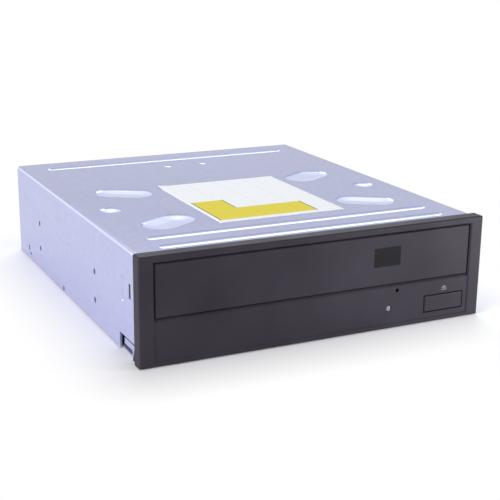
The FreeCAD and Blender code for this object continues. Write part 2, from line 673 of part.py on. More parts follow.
def tray_rail():
    """Right rail of the frame: guide wall, runner ledge, keepers, deck bearing, bosses and bridge post."""
    outer = GUIDE_HALF + FRAME_WALL
    ledge_in = TRAY_HALF - 5.0
    ledge_top = TRAY_BOTTOM - SEAM
    pieces = [
        block(GUIDE_HALF, outer, FRAME_FRONT, FRAME_REAR, FRAME_BASE, FRAME_TOP),
        block(ledge_in, GUIDE_HALF, FRAME_FRONT, FRAME_REAR, ledge_top - 2.0, ledge_top),
    ]
    keepers = ((FRAME_FRONT, FRAME_FRONT + 20.0), (SPINDLE_Y + 22.0, SPINDLE_Y + 32.0),
               (REAR - 28.0, REAR - 18.0))
    for start, end in keepers:
        pieces.append(block(TRAY_HALF - 3.2, GUIDE_HALF, start, end, DISC_SEAT + 0.3, DISC_SEAT + 1.8))
    bridge_in = TRAY_HALF - 3.6
    pieces.append(block(bridge_in, outer, SPINDLE_Y - 8.0, SPINDLE_Y + 8.0, TRAY_TOP + 0.5, BRIDGE_LOW))
    pieces.append(block(DECK_HALF + 0.8, GUIDE_HALF, PIVOT_Y - 3.5, PIVOT_Y + 3.5,
                        PIVOT_Z - 4.0, PIVOT_Z + 4.0))
    for y in (BOSS_FRONT_Y, BOSS_REAR_Y):
        pieces.append(upright(BOSS_RADIUS, BOSS_X, y, SHEET + 1.0, PLATE_UPPER))
        pieces.append(block(BOSS_X, GUIDE_HALF, y - BOSS_RADIUS, y + BOSS_RADIUS, 5.0, PLATE_UPPER))
    gusset = [(GUIDE_HALF, ledge_top - 8.0), (GUIDE_HALF, ledge_top - 1.0), (ledge_in, ledge_top - 1.0)]
    for y in (SPINDLE_Y - 8.0, SPINDLE_Y + 18.0, SPINDLE_Y + 44.0):
        pieces.append(slab(gusset, "y", y, y + 1.5))
    rail = joined(*pieces)
    for x, y in cover_screw_places():
        rail = rail.cut(upright(1.3, x, y, FRAME_BASE, FRAME_FLOOR - 1))
    for x, y in bridge_screw_places():
        rail = rail.cut(upright(1.1, x, y, BRIDGE_LOW - 4, BRIDGE_LOW + 1))
    bearing = rod(PIVOT_RADIUS + PIVOT_CLEARANCE, vec(0, PIVOT_Y, PIVOT_Z),
                  vec(DECK_HALF + 5, PIVOT_Y, PIVOT_Z))
    return rail.cut(bearing).removeSplitter()


def between_rails(shape):
    """The shape without the room that both rails take."""
    rail = tray_rail()
    return shape.cut(rail).cut(mirrored(rail))


def main_frame():
    """Moulded platform between the rails that carries the gears, the motor and the cam slider."""
    platform = block(-GUIDE_HALF, GUIDE_HALF, FRAME_FRONT, SLIDER_FRONT - 0.3, FRAME_FLOOR, PLATE_UPPER)
    guide_wall = block(-GUIDE_HALF, GUIDE_HALF, SLIDER_BACK + 0.3, SLIDER_BACK + 1.5,
                       FRAME_BASE, SLIDER_TOP - 1)
    end_blocks = pair(block(GUIDE_HALF - 5.0, GUIDE_HALF, SLIDER_FRONT - 0.5, SLIDER_BACK + 0.4,
                            FRAME_BASE, PLATE_UPPER))
    cup = upright(MOTOR_RADIUS + 2.0, MOTOR_X, MOTOR_Y, FRAME_FLOOR, MOTOR_TOP + FRAME_PLATE)
    drive_post = upright(2.0, DRIVE_X, DRIVE_Y, PLATE_UPPER, RACK_LOW + RACK_FACE - 0.4)
    pulley_post = upright(1.5, PINION_X, DRIVE_Y, PLATE_UPPER, PULLEY_LOW + PULLEY_FACE)
    feet = [upright(2.0, x, y, FRONT_BOARD_TOP, FRAME_FLOOR) for x, y in front_board_screw_places()]
    collars = [upright(4.0, x, DRIVE_Y, PLATE_UPPER, GEAR_LOW - 0.1) for x in (DRIVE_X, PINION_X)]
    frame = joined(platform, guide_wall, cup, drive_post, pulley_post, *end_blocks, *feet, *collars)
    motor_space = upright(MOTOR_RADIUS + 0.3, MOTOR_X, MOTOR_Y, FRAME_FLOOR - 1, MOTOR_TOP)
    motor_boss = upright(3.2, MOTOR_X, MOTOR_Y, MOTOR_TOP - 1, MOTOR_TOP + 5)
    lamp_notch = block(LAMP_X - 4.8, GUIDE_HALF, FRAME_FRONT - 1, FRONT_BOARD_FRONT + 3.6,
                       FRAME_FLOOR - 1, PLATE_UPPER + 1)
    frame = frame.cut(motor_space).cut(motor_boss).cut(lamp_notch)
    half = LIFT_PIN_RADIUS + 0.4
    for x in (-LIFT_PIN_X, LIFT_PIN_X):
        frame = frame.cut(block(x - half, x + half, SLIDER_BACK, SLIDER_BACK + 3,
                                FRAME_BASE + 1.1, SLIDER_TOP))
    for x, y in motor_screw_places():
        frame = frame.cut(upright(1.05, x, y, MOTOR_TOP - 1, MOTOR_TOP + 5))
    for x, y in front_board_screw_places():
        frame = frame.cut(upright(0.85, x, y, FRONT_BOARD_TOP - 1, FRAME_FLOOR))
    return between_rails(frame).removeSplitter()


def rear_crossbar():
    """Bar that ties the rails together behind the tray."""
    return between_rails(block(-GUIDE_HALF, GUIDE_HALF, FRAME_REAR - 3.0, FRAME_REAR,
                               BOARD_TOP + SOCKET_HEIGHT + 2.0, TRAY_BOTTOM - SEAM))


def motor_screw_places():
    return [(MOTOR_X, MOTOR_Y - 8.5), (MOTOR_X, MOTOR_Y + 8.5)]


def front_board_screw_places():
    return [(LAMP_X - 0.8, FRONT_FOOT_Y), (GUIDE_HALF - 5.0, FRONT_FOOT_Y)]


def bridge_screw_places():
    half = GUIDE_HALF - 1.4
    return [(x, SPINDLE_Y + y) for x in (-half, half) for y in (-5.0, 5.0)]


def loading_motor():
    """Flat can motor, with its bearing boss up through the frame and a tapered bottom edge."""
    low = SHEET + 0.3
    profile = [(1.1, low), (MOTOR_RADIUS - 1.5, low), (MOTOR_RADIUS, low + 1.5), (MOTOR_RADIUS, MOTOR_TOP),
               (3.0, MOTOR_TOP), (3.0, MOTOR_TOP + 1.2), (1.1, MOTOR_TOP + 1.2)]
    body = turned(profile, MOTOR_X, MOTOR_Y)
    for x, y in motor_screw_places():
        body = body.cut(upright(0.95, x, y, MOTOR_TOP - 2.5, MOTOR_TOP + 1))
    return body


def motor_shaft():
    return upright(1.0, MOTOR_X, MOTOR_Y, MOTOR_TOP - 4.0, PULLEY_LOW + PULLEY_FACE)


def grooved_wheel(radius, bore, x, y):
    """A wheel with a belt groove half way up its rim."""
    groove = radius - GROOVE_DEPTH
    middle = PULLEY_LOW + PULLEY_FACE / 2
    half = BELT / 2 + 0.1
    lower = [(bore, PULLEY_LOW), (radius, PULLEY_LOW), (radius, middle - half - 0.3), (groove, middle - half)]
    upper = [(groove, middle + half), (radius, middle + half + 0.3), (radius, PULLEY_LOW + PULLEY_FACE),
             (bore, PULLEY_LOW + PULLEY_FACE)]
    return turned(lower + upper, x, y)


def motor_pulley():
    return grooved_wheel(MOTOR_PULLEY_RADIUS, 1.0, MOTOR_X, MOTOR_Y)


def pulley_gear():
    """Large belt wheel above a small pinion, turning on a post of the frame."""
    bore = 1.5 + RUNNING
    turn = mesh_turn(PINION_TEETH)
    pinion = gear(PINION_TEETH, TRAIN_MODULE, PINION_X, DRIVE_Y, GEAR_LOW, GEAR_FACE + 1.0, turn)
    wheel = grooved_wheel(PULLEY_RADIUS, bore, PINION_X, DRIVE_Y)
    for hole in range(5):
        angle = math.radians(72 * hole)
        x, y = PINION_X + 6.8 * math.cos(angle), DRIVE_Y + 6.8 * math.sin(angle)
        wheel = wheel.cut(upright(1.8, x, y, PULLEY_LOW - 1, PULLEY_LOW + PULLEY_FACE + 1))
    return joined(pinion, wheel).cut(upright(bore, PINION_X, DRIVE_Y, 0, 30))


def mesh_turn(teeth):
    """Turns the pinion so that a gap faces +X, where the drive gear has a tooth."""
    return 180.0 / teeth


def tray_drive_gear():
    """Two-stage gear: a wheel driven by the pinion and, above it, the pinion of the tray rack."""
    bore = 2.0 + RUNNING
    wheel = gear(WHEEL_TEETH, TRAIN_MODULE, DRIVE_X, DRIVE_Y, GEAR_LOW, GEAR_FACE, 180.0)
    floor = GEAR_LOW + 2.0
    recess = turned([(5.0, floor), (11.5, floor), (12.0, floor + 2.0), (5.0, floor + 2.0)], DRIVE_X, DRIVE_Y)
    hub = upright(4.0, DRIVE_X, DRIVE_Y, GEAR_LOW, RACK_LOW + 0.1)
    pinion = gear(RACK_PINION_TEETH, RACK_MODULE, DRIVE_X, DRIVE_Y, RACK_LOW, RACK_FACE, 0.0)
    return joined(wheel.cut(recess), hub, pinion).cut(upright(bore, DRIVE_X, DRIVE_Y, 0, 30))


def belt_wire(grow, z):
    """The loop of the belt round both pulleys: two arcs and their common tangents."""
    small = MOTOR_PULLEY_RADIUS - GROOVE_DEPTH + 0.08 + grow
    large = PULLEY_RADIUS - GROOVE_DEPTH + 0.08 + grow
    start = vec(MOTOR_X, MOTOR_Y, z)
    end = vec(PINION_X, DRIVE_Y, z)
    line = end.sub(start)
    heading = math.atan2(line.y, line.x)
    lean = math.acos((small - large) / line.Length)

    def on_circle(centre, radius, angle):
        return centre.add(vec(radius * math.cos(angle), radius * math.sin(angle), 0))

    left = on_circle(start, small, heading + lean), on_circle(end, large, heading + lean)
    right = on_circle(start, small, heading - lean), on_circle(end, large, heading - lean)
    edges = [
        Part.LineSegment(left[0], left[1]).toShape(),
        Part.Arc(left[1], on_circle(end, large, heading), right[1]).toShape(),
        Part.LineSegment(right[1], right[0]).toShape(),
        Part.Arc(right[0], on_circle(start, small, heading + math.pi), left[0]).toShape(),
    ]
    return Part.Wire(edges)


def drive_belt():
    low = PULLEY_LOW + PULLEY_FACE / 2 - BELT / 2
    outer = Part.Face(belt_wire(BELT, low)).extrude(vec(0, 0, BELT))
    inner = Part.Face(belt_wire(0, low)).extrude(vec(0, 0, BELT))
    return outer.cut(inner)


def capsule(start, end, radius, low_y, high_y):
    """A round-ended slot between two (x, z) points, cut along Y."""
    along = vec(end[0] - start[0], 0, end[1] - start[1])
    across = vec(-along.z, 0, along.x).normalize().multiply(radius)
    first = vec(start[0], low_y, start[1])
    last = vec(end[0], low_y, end[1])
    corners = [first.add(across), last.add(across), last.sub(across), first.sub(across)]
    bar = Part.Face(Part.makePolygon(corners + corners[:1])).extrude(vec(0, high_y - low_y, 0))
    ends = [rod(radius, point, point.add(vec(0, high_y - low_y, 0))) for point in (first, last)]
    return bar.multiFuse(ends)


def pin_drop():
    """How far the lifting pins go down between the level deck and its rest."""
    middle = (SLIDER_FRONT + SLIDER_BACK) / 2
    return (PIVOT_Y - middle) * math.sin(math.radians(LIFT_ANGLE))


def cam_slider():
    """Sliding plate with two sloped cam slots and a short rack along its front."""
    plate = block(SLIDER_LEFT, SLIDER_RIGHT, SLIDER_FRONT, SLIDER_BACK, SLIDER_LOW, SLIDER_TOP)
    plate = rounded(plate, 2.0, lambda edge: edge.BoundBox.YLength > 1
                    and edge.BoundBox.ZMin > SLIDER_LOW + 1)
    rack_tips = DRIVE_Y + TRAIN_MODULE * (WHEEL_TEETH / 2 + 0.95) + 0.3
    pitch_line = rack_tips + TRAIN_MODULE * 0.95
    teeth = rack_points(TRAIN_MODULE, 11, 0.0, pitch_line, -1)
    outline = [(along, across) for across, along in teeth]
    outline += [(outline[-1][0], SLIDER_FRONT + 0.5), (outline[0][0], SLIDER_FRONT + 0.5)]
    slider = joined(plate, slab(outline, "z", GEAR_LOW, GEAR_LOW + GEAR_FACE))
    low_z = PIVOT_Z - pin_drop()
    radius = LIFT_PIN_RADIUS + CAM_CLEARANCE
    for pin_x in (-LIFT_PIN_X, LIFT_PIN_X):
        top_x = pin_x - SLIDER_TRAVEL
        route = [(pin_x + CAM_DWELL, low_z), (pin_x, low_z), (top_x, PIVOT_Z), (top_x - CAM_DWELL, PIVOT_Z)]
        for start, end in zip(route, route[1:]):
            slider = slider.cut(capsule(start, end, radius, SLIDER_FRONT - 3, SLIDER_BACK + 1))
    return slider.removeSplitter()


def deck_frame():
    """Moulded ring that swings on two rear pins and is lifted by two front pins."""
    ring = block(-DECK_HALF, DECK_HALF, DECK_FRONT, DECK_REAR, DECK_LOW, DECK_HIGH)
    ring = rounded(ring, 3.0, lambda edge: edge.BoundBox.ZLength > 1)
    inner = block(-DECK_HALF + DECK_BAR, DECK_HALF - DECK_BAR, DECK_FRONT + DECK_BAR + 0.5,
                  DECK_REAR - DECK_BAR - 0.5, 0, 30)
    inner = rounded(inner, 2.0, lambda edge: edge.BoundBox.ZLength > 1)
    pieces = []
    for x, y in damper_places():
        side = 1 if x > 0 else -1
        end = 1 if y > SPINDLE_Y + 20 else -1
        across = sorted((x - side * 3.2, side * (DECK_HALF - 2)))
        along = sorted((y - end * 3.2, y + end * 6))
        pieces.append(block(*across, *along, DECK_LOW, PLATE_LOW - DAMPER_LIP))
    pivot = rod(PIVOT_RADIUS, vec(DECK_HALF - 2, PIVOT_Y, PIVOT_Z), vec(DECK_HALF + 4.4, PIVOT_Y, PIVOT_Z))
    eye = rod(PIVOT_RADIUS + 1.0, vec(DECK_HALF - 4, PIVOT_Y, PIVOT_Z), vec(DECK_HALF, PIVOT_Y, PIVOT_Z))
    lift_pin = rod(LIFT_PIN_RADIUS, vec(LIFT_PIN_X, SLIDER_FRONT + 0.3, PIVOT_Z),
                   vec(LIFT_PIN_X, DECK_FRONT + 2, PIVOT_Z))
    deck = joined(ring.cut(inner), *pieces, *pair(pivot), *pair(eye), *pair(lift_pin))
    for x, y in damper_places():
        deck = deck.cut(upright(0.85, x, y, 0, 30))
    return lowered(deck)


def damper_places():
    return [(x, y) for x in (-DAMPER_X, DAMPER_X) for y in (DAMPER_FRONT_Y, DAMPER_REAR_Y)]


def dampers():
    """Rubber grommets that hold the traverse plate free of the deck."""
    low = PLATE_LOW - DAMPER_LIP
    high = PLATE_TOP + DAMPER_LIP
    under = PLATE_LOW - PRESSED
    over = PLATE_TOP + PRESSED
    profile = [(1.1, low), (DAMPER_RADIUS, low), (DAMPER_RADIUS, under), (DAMPER_NECK, under),
               (DAMPER_NECK, over), (DAMPER_RADIUS, over), (DAMPER_RADIUS, high), (1.1, high)]
    return [lowered(turned(profile, x, y)) for x, y in damper_places()]


def damper_screws():
    seat = PLATE_TOP + DAMPER_LIP
    return [lowered(screw(x, y, seat, 2.4, 1.0, 0.8, 5.5, 1)) for x, y in damper_places()]


def traverse_plate():
    """Steel plate with windows for the pickup and the feed motor, and lugs for the guide rods."""
    plate = block(-PLATE_HALF, PLATE_HALF, PLATE_FRONT, PLATE_REAR, PLATE_LOW, PLATE_TOP)
    plate = rounded(plate, 3.0, lambda edge: edge.BoundBox.ZLength > 0.5)
    window = block(-ROD_X + 2.5, ROD_X - 2.5, CARRIAGE_FRONT - 1.0,
                   CARRIAGE_REAR + PICKUP_TRAVEL + 1.2, 0, 30)
    feed = block(SCREW_X - 4.8, SCREW_X + FEED_MOTOR_RADIUS + 0.4, SCREW_FRONT - 0.6,
                 FEED_MOTOR_FRONT + FEED_MOTOR_LENGTH + 0.5, 0, 30)
    feed_rear = block(SCREW_X - FEED_MOTOR_RADIUS - 0.4, SCREW_X, FEED_MOTOR_FRONT - 1.5,
                      FEED_MOTOR_FRONT + FEED_MOTOR_LENGTH + 0.5, 0, 30)
    relief = block(-ROD_X - 10.5, -ROD_X - 3.5, LENS_Y, LENS_Y + 28.0, 0, 30)
    plate = plate.cut(window).cut(feed).cut(feed_rear).cut(relief)
    for x, y in damper_places():
        plate = plate.cut(upright(DAMPER_NECK + 0.05, x, y, 0, 30))
    lugs = []
    for y in (ROD_FRONT, ROD_REAR - PLATE):
        for x in (-ROD_X, ROD_X):
            lug = block(x - 2.4, x + 2.4, y, y + PLATE, PLATE_LOW, ROD_Z + 2.3)
            lugs.append(rounded(lug, 2.0, lambda edge: edge.BoundBox.YLength > 0.5
                                and edge.BoundBox.ZMin > ROD_Z))
    plate = joined(plate, *lugs)
    for x in (-ROD_X, ROD_X):
        plate = plate.cut(rod(ROD_RADIUS + PRESSED, vec(x, ROD_FRONT - 1, ROD_Z),
                              vec(x, ROD_REAR + 1, ROD_Z)))
    return lowered(plate)


def guide_rod(x):
    return lowered(rod(ROD_RADIUS, vec(x, ROD_FRONT - 0.3, ROD_Z), vec(x, ROD_REAR + 0.3, ROD_Z)))


def spindle_motor():
    """Stator of the spindle motor: base, bearing and a core with nine poles."""
    base = upright(ROTOR_RADIUS + 0.5, 0, SPINDLE_Y, PLATE_TOP, PLATE_TOP + 0.8)
    ears = block(-17.0, 17.0, SPINDLE_Y - 5.0, SPINDLE_Y + 5.0, PLATE_TOP, PLATE_TOP + 0.8)
    bearing = upright(3.4, 0, SPINDLE_Y, PLATE_TOP, PLATE_TOP + 4.4)
    poles = []
    for pole in range(9):
        arm = block(2.5, ROTOR_RADIUS - 2.2, -0.9, 0.9, PLATE_TOP + 1.4, PLATE_TOP + 3.4)
        shoe = block(ROTOR_RADIUS - 3.2, ROTOR_RADIUS - 2.0, -2.6, 2.6, PLATE_TOP + 1.4, PLATE_TOP + 3.4)
        for piece in (arm, shoe):
            piece.rotate(vec(0, 0, 0), vec(0, 0, 1), 40 * pole)
            piece.translate(vec(0, SPINDLE_Y, 0))
            poles.append(piece)
    stator = joined(base, ears, bearing, *poles)
    return lowered(stator.cut(upright(SHAFT_RADIUS + RUNNING, 0, SPINDLE_Y, PLATE_TOP - 1, 30)))


def table_bottom():
    return PLAY_HEIGHT - PAD_THICKNESS - 2.3


def spindle_shaft():
    return lowered(upright(SHAFT_RADIUS, 0, SPINDLE_Y, PLATE_TOP + 0.3, table_bottom() + 2.6))


def spindle_rotor():
    """Steel cup that turns round the stator."""
    top = table_bottom()
    low = PLATE_TOP + 1.5
    bore = SHAFT_RADIUS + PRESSED
    profile = [(bore, top - 1.0), (ROTOR_RADIUS - 1, top - 1.0), (ROTOR_RADIUS - 1, low), (ROTOR_RADIUS, low),
               (ROTOR_RADIUS, top - 0.4), (ROTOR_RADIUS - 0.4, top), (bore, top)]
    return lowered(turned(profile, 0, SPINDLE_Y))


def turntable():
    """Disc table with its centring cone."""
    low = table_bottom()
    seat = PLAY_HEIGHT - PAD_THICKNESS
    bore = SHAFT_RADIUS + PRESSED
    profile = [(bore, low), (TABLE_RADIUS - 0.6, low), (TABLE_RADIUS, low + 0.6), (TABLE_RADIUS, seat),
               (CONE_RADIUS, seat), (CONE_RADIUS, PLAY_HEIGHT + 0.7),
               (CONE_RADIUS - 2.4, PLAY_HEIGHT + CONE_HEIGHT), (0, PLAY_HEIGHT + CONE_HEIGHT),
               (0, low + 2.7), (bore, low + 2.7)]
    return lowered(turned(profile, 0, SPINDLE_Y))


def turntable_pad():
    """Rubber ring that the disc sits on."""
    seat = PLAY_HEIGHT - PAD_THICKNESS
    return lowered(turned([(9.0, seat), (TABLE_RADIUS - 0.3, seat), (TABLE_RADIUS - 0.3, PLAY_HEIGHT),
                           (9.0, PLAY_HEIGHT)], 0, SPINDLE_Y))


def pickup_carriage():
    """Cast sled with two bushes on the main rod and a fork on the second one."""
    body = block(-CARRIAGE_HALF, CARRIAGE_HALF, CARRIAGE_FRONT, CARRIAGE_REAR, CARRIAGE_LOW, CARRIAGE_TOP)
    body = rounded(body, 2.5, lambda edge: edge.BoundBox.ZLength > 1)
    belly = block(-CARRIAGE_HALF + 4, CARRIAGE_HALF - 8, CARRIAGE_FRONT - 1, CARRIAGE_REAR - 4,
                  CARRIAGE_LOW - 1, CARRIAGE_LOW + 2.6)
    table_space = upright(TABLE_RADIUS + 0.5, 0, SPINDLE_Y, 0, 30)
    web = block(-ROD_X, -CARRIAGE_HALF + 1, CARRIAGE_FRONT + 1.0, CARRIAGE_REAR, ROD_Z - 1.8, ROD_Z + 2.0)
    bushes = [rod(BUSH_RADIUS, vec(-ROD_X, start, ROD_Z), vec(-ROD_X, start + BUSH_LENGTH, ROD_Z))
              for start in (CARRIAGE_FRONT + 1.0, CARRIAGE_REAR - BUSH_LENGTH)]
    fork = block(CARRIAGE_HALF - 1, ROD_X + 1.9, LENS_Y - 2.5, LENS_Y + 2.5, ROD_Z - 2.5, ROD_Z + 2.4)
    gap = block(ROD_X - 2.0, ROD_X + 4, LENS_Y - 4, LENS_Y + 4, ROD_Z - ROD_RADIUS - 0.08,
                ROD_Z + ROD_RADIUS + 0.08)
    relief = block(-ROD_X - 4, -ROD_X + 1.0, CARRIAGE_FRONT + 1.0 + BUSH_LENGTH, CARRIAGE_REAR - BUSH_LENGTH,
                   ROD_Z - 4, ROD_Z + 4)
    carriage = joined(body.cut(belly), web, fork).cut(relief).cut(table_space)
    carriage = joined(carriage, *bushes)
    bore = rod(ROD_RADIUS + RUNNING, vec(-ROD_X, CARRIAGE_FRONT - 2, ROD_Z),
               vec(-ROD_X, CARRIAGE_REAR + 2, ROD_Z))
    well = upright(LENS_RADIUS + 1.0, 0, LENS_Y, CARRIAGE_TOP - 1.5, CARRIAGE_TOP + 1)
    return lowered(carriage.cut(gap).cut(bore).cut(well))


def lens_cover():
    """Cover over the lens actuator, cut round for the turntable."""
    cover = block(-10.0, 10.0, LENS_Y - 7.5, LENS_Y + 9.0, CARRIAGE_TOP, CARRIAGE_TOP + 1.7)
    cover = rounded(cover, 1.5, lambda edge: edge.BoundBox.ZLength > 1)
    cover = cover.cut(upright(TABLE_RADIUS + 0.5, 0, SPINDLE_Y, 0, 30))
    return lowered(cover.cut(upright(LENS_RADIUS + 0.2, 0, LENS_Y, 0, 30)))


def objective_lens():
    """Lens with a domed top, held a little above its cover."""
    low = CARRIAGE_TOP - 1.0
    edge = CARRIAGE_TOP + 1.3
    crown = 0.8
    start = vec(LENS_RADIUS, LENS_Y, edge)
    top = vec(0, LENS_Y, edge + crown)
    sphere_radius = (LENS_RADIUS ** 2 + crown ** 2) / (2 * crown)
    half = math.asin(LENS_RADIUS / sphere_radius) / 2
    middle = vec(sphere_radius * math.sin(half), LENS_Y, edge + crown - sphere_radius * (1 - math.cos(half)))
    edges = [
        Part.LineSegment(vec(0, LENS_Y, low), vec(LENS_RADIUS, LENS_Y, low)).toShape(),
        Part.LineSegment(vec(LENS_RADIUS, LENS_Y, low), start).toShape(),
        Part.Arc(start, middle, top).toShape(),
        Part.LineSegment(top, vec(0, LENS_Y, low)).toShape(),
    ]
    face = Part.Face(Part.Wire(edges))
    return lowered(face.revolve(vec(0, LENS_Y, 0), vec(0, 0, 1), 360))


def feed_nut():
    """Half nut that rides in the lead screw, on an arm under the second rod."""
    arm = block(CARRIAGE_HALF, SCREW_X + 3.0, CARRIAGE_FRONT + 0.3, CARRIAGE_FRONT + 5.3,
                CARRIAGE_LOW + 0.1, PLATE_LOW - 0.3)
    nut = block(SCREW_X - 3.2, SCREW_X + 3.2, CARRIAGE_FRONT + 0.3, CARRIAGE_FRONT + 5.3,
                SCREW_Z - 3.4, SCREW_Z - 0.1)
    groove = rod(SCREW_RADIUS + RUNNING, vec(SCREW_X, CARRIAGE_FRONT - 5, SCREW_Z),
                 vec(SCREW_X, CARRIAGE_FRONT + 9, SCREW_Z))
    return lowered(joined(arm, nut).cut(groove))


def feed_motor():
    """Stepping motor that turns the lead screw."""
    start = FEED_MOTOR_FRONT
    middle = start + FEED_MOTOR_LENGTH / 2
    body = rod(FEED_MOTOR_RADIUS, vec(SCREW_X, start, SCREW_Z),
               vec(SCREW_X, start + FEED_MOTOR_LENGTH, SCREW_Z))
    body = rounded(body, 0.8, lambda edge: edge.BoundBox.YLength < 0.1)
    groove = rod(FEED_MOTOR_RADIUS + 1, vec(SCREW_X, middle - 0.3, SCREW_Z),
                 vec(SCREW_X, middle + 0.3, SCREW_Z))
    core = rod(FEED_MOTOR_RADIUS - 0.5, vec(SCREW_X, middle - 1, SCREW_Z), vec(SCREW_X, middle + 1, SCREW_Z))
    return lowered(body.cut(groove.cut(core)))


def lead_screw():
    return lowered(rod(SCREW_RADIUS, vec(SCREW_X, SCREW_FRONT, SCREW_Z),
                       vec(SCREW_X, FEED_MOTOR_FRONT - 0.1, SCREW_Z)))


def feed_bracket():
    """Bracket that carries the motor at one end and the tip of the lead screw at the other."""
    side = PLATE_HALF - 4.0
    strip = block(side, PLATE_HALF - 0.2, SCREW_FRONT - 1.2, FEED_MOTOR_FRONT, PLATE_TOP, PLATE_TOP + 0.8)
    front_tab = block(SCREW_X - 2.6, PLATE_HALF - 0.2, SCREW_FRONT - 0.4, SCREW_FRONT + 0.4,
                      SCREW_Z - 2.6, PLATE_TOP + 0.8)
    front_tab = front_tab.cut(block(SCREW_X + FEED_MOTOR_RADIUS, PLATE_HALF,
                                    SCREW_FRONT - 1, SCREW_FRONT + 1, 0, PLATE_TOP))
    face_plate = rod(FEED_MOTOR_RADIUS, vec(SCREW_X, FEED_MOTOR_FRONT - 0.9, SCREW_Z),
                     vec(SCREW_X, FEED_MOTOR_FRONT - 0.1, SCREW_Z))
    strap = block(SCREW_X, PLATE_HALF - 0.2, FEED_MOTOR_FRONT - 0.9, FEED_MOTOR_FRONT - 0.1,
                  PLATE_TOP, PLATE_TOP + 3.0)
    bracket = joined(strip, front_tab, face_plate, strap)
    bracket = bracket.cut(rod(SCREW_RADIUS + RUNNING, vec(SCREW_X, SCREW_FRONT - 0.2, SCREW_Z),
                              vec(SCREW_X, FEED_MOTOR_FRONT + 2, SCREW_Z)))
    return lowered(bracket)


def clamper_bridge():
    """Steel bridge across the tray, with raised flanges and a hole that the clamper hangs in."""
    half = GUIDE_HALF + FRAME_WALL - 0.2
    top = BRIDGE_LOW + PLATE
    front = SPINDLE_Y - BRIDGE_HALF_DEPTH
    rear = SPINDLE_Y + BRIDGE_HALF_DEPTH
    bridge = block(-half, half, front, rear, BRIDGE_LOW, top)
    bridge = rounded(bridge, 4.0, lambda edge: edge.BoundBox.ZLength > 0.5)
    flanges = [block(-half + 8, half - 8, front, front + PLATE, BRIDGE_LOW, top + BRIDGE_FLANGE),
               block(-half + 8, half - 8, rear - PLATE, rear, BRIDGE_LOW, top + BRIDGE_FLANGE)]
    bridge = joined(bridge, *flanges)
    for x, radius in ((0, BRIDGE_HOLE), (-38, 8.0), (38, 8.0)):
        bridge = bridge.cut(upright(radius, x, SPINDLE_Y, BRIDGE_LOW - 1, top + 1))
    for x, y in bridge_screw_places():
        bridge = bridge.cut(upright(1.4, x, y, BRIDGE_LOW - 1, top + 1))
    return bridge


def bridge_screws():
    seat = BRIDGE_LOW + PLATE
    return [screw(x, y, seat, 2.3, 1.1, 1.05, 4.6, 1) for x, y in bridge_screw_places()]


def clamper():
    """Pressure plate that hangs in the bridge and holds a disc from above."""
    rest = BRIDGE_LOW + PLATE + 0.3
    barrel = BRIDGE_HOLE - 0.6
    socket = CONE_RADIUS - 1.6
    cup = MAGNET_RADIUS + 0.1
    under = [(0, CLAMPER_BOTTOM + 2.4), (socket, CLAMPER_BOTTOM + 2.4), (socket, CLAMPER_BOTTOM),
             (barrel, CLAMPER_BOTTOM), (barrel, rest), (CLAMPER_FLANGE_RADIUS, rest)]
    over = [(CLAMPER_FLANGE_RADIUS, rest + 1.2), (cup, rest + 1.2),
            (cup, CLAMPER_BOTTOM + 3.6), (0, CLAMPER_BOTTOM + 3.6)]
    return turned(under + over, 0, SPINDLE_Y)


def clamper_magnet():
    low = CLAMPER_BOTTOM + 3.6
    return turned([(3.0, low), (MAGNET_RADIUS, low), (MAGNET_RADIUS, low + 2.0), (3.0, low + 2.0)], 0, SPINDLE_Y)


def main_board():
    """Controller board under the deck, with its screw holes."""
    board = block(-BOARD_HALF, BOARD_HALF, BOARD_FRONT, BOARD_REAR, BOARD_LOW, BOARD_TOP)
    board = rounded(board, 2.0, lambda edge: edge.BoundBox.ZLength > 1)
    for x, y in board_screw_places():
        board = board.cut(upright(1.4, x, y, 0, 20))
    return board


def board_screws():
    return [screw(x, y, BOARD_TOP, 2.3, 1.1, 1.05, 2.8, 1) for x, y in board_screw_places()]


def chip_places():
    """Middle, size and height of each packaged chip on the controller board."""
    return [(-20.0, BOARD_FRONT + 30.0, 14.0, 14.0, 1.4), (6.0, BOARD_FRONT + 54.0, 18.0, 8.0, 1.2),
            (-38.0, BOARD_FRONT + 14.0, 12.0, 9.0, 1.3), (16.0, BOARD_FRONT + 20.0, 8.0, 8.0, 1.0)]


def board_chips():
    chips = []
    for x, y, length, width, height in chip_places():
        chip = block(x - length / 2, x + length / 2, y - width / 2, y + width / 2,
                     BOARD_TOP, BOARD_TOP + height)
        rim = [edge for edge in chip.Edges if edge.BoundBox.ZMin > BOARD_TOP + 0.5]
        chips.append(chip.makeChamfer(0.25, rim))
    return chips


def cable_sockets():
    """Flat-cable sockets along the front of the controller board."""
    sockets = []
    for x, length in ((-30.0, 22.0), (22.0, 14.0)):
        body = block(x - length / 2, x + length / 2, BOARD_FRONT + 1.0, BOARD_FRONT + 5.0,
                     BOARD_TOP, BOARD_TOP + 2.0)
        slit = block(x - length / 2 + 1, x + length / 2 - 1, BOARD_FRONT, BOARD_FRONT + 3.0,
                     BOARD_TOP + 0.7, BOARD_TOP + 1.3)
        sockets.append(body.cut(slit))
    return sockets


def signal_span():
    return SOCKET_LEFT + 1.4, SOCKET_LEFT + 13.8


def power_span():
    return SOCKET_LEFT + 15.4, SOCKET_LEFT + SOCKET_WIDTH - 1.4


def tongue_height():
    return BOARD_TOP + SOCKET_HEIGHT / 2 - 0.6


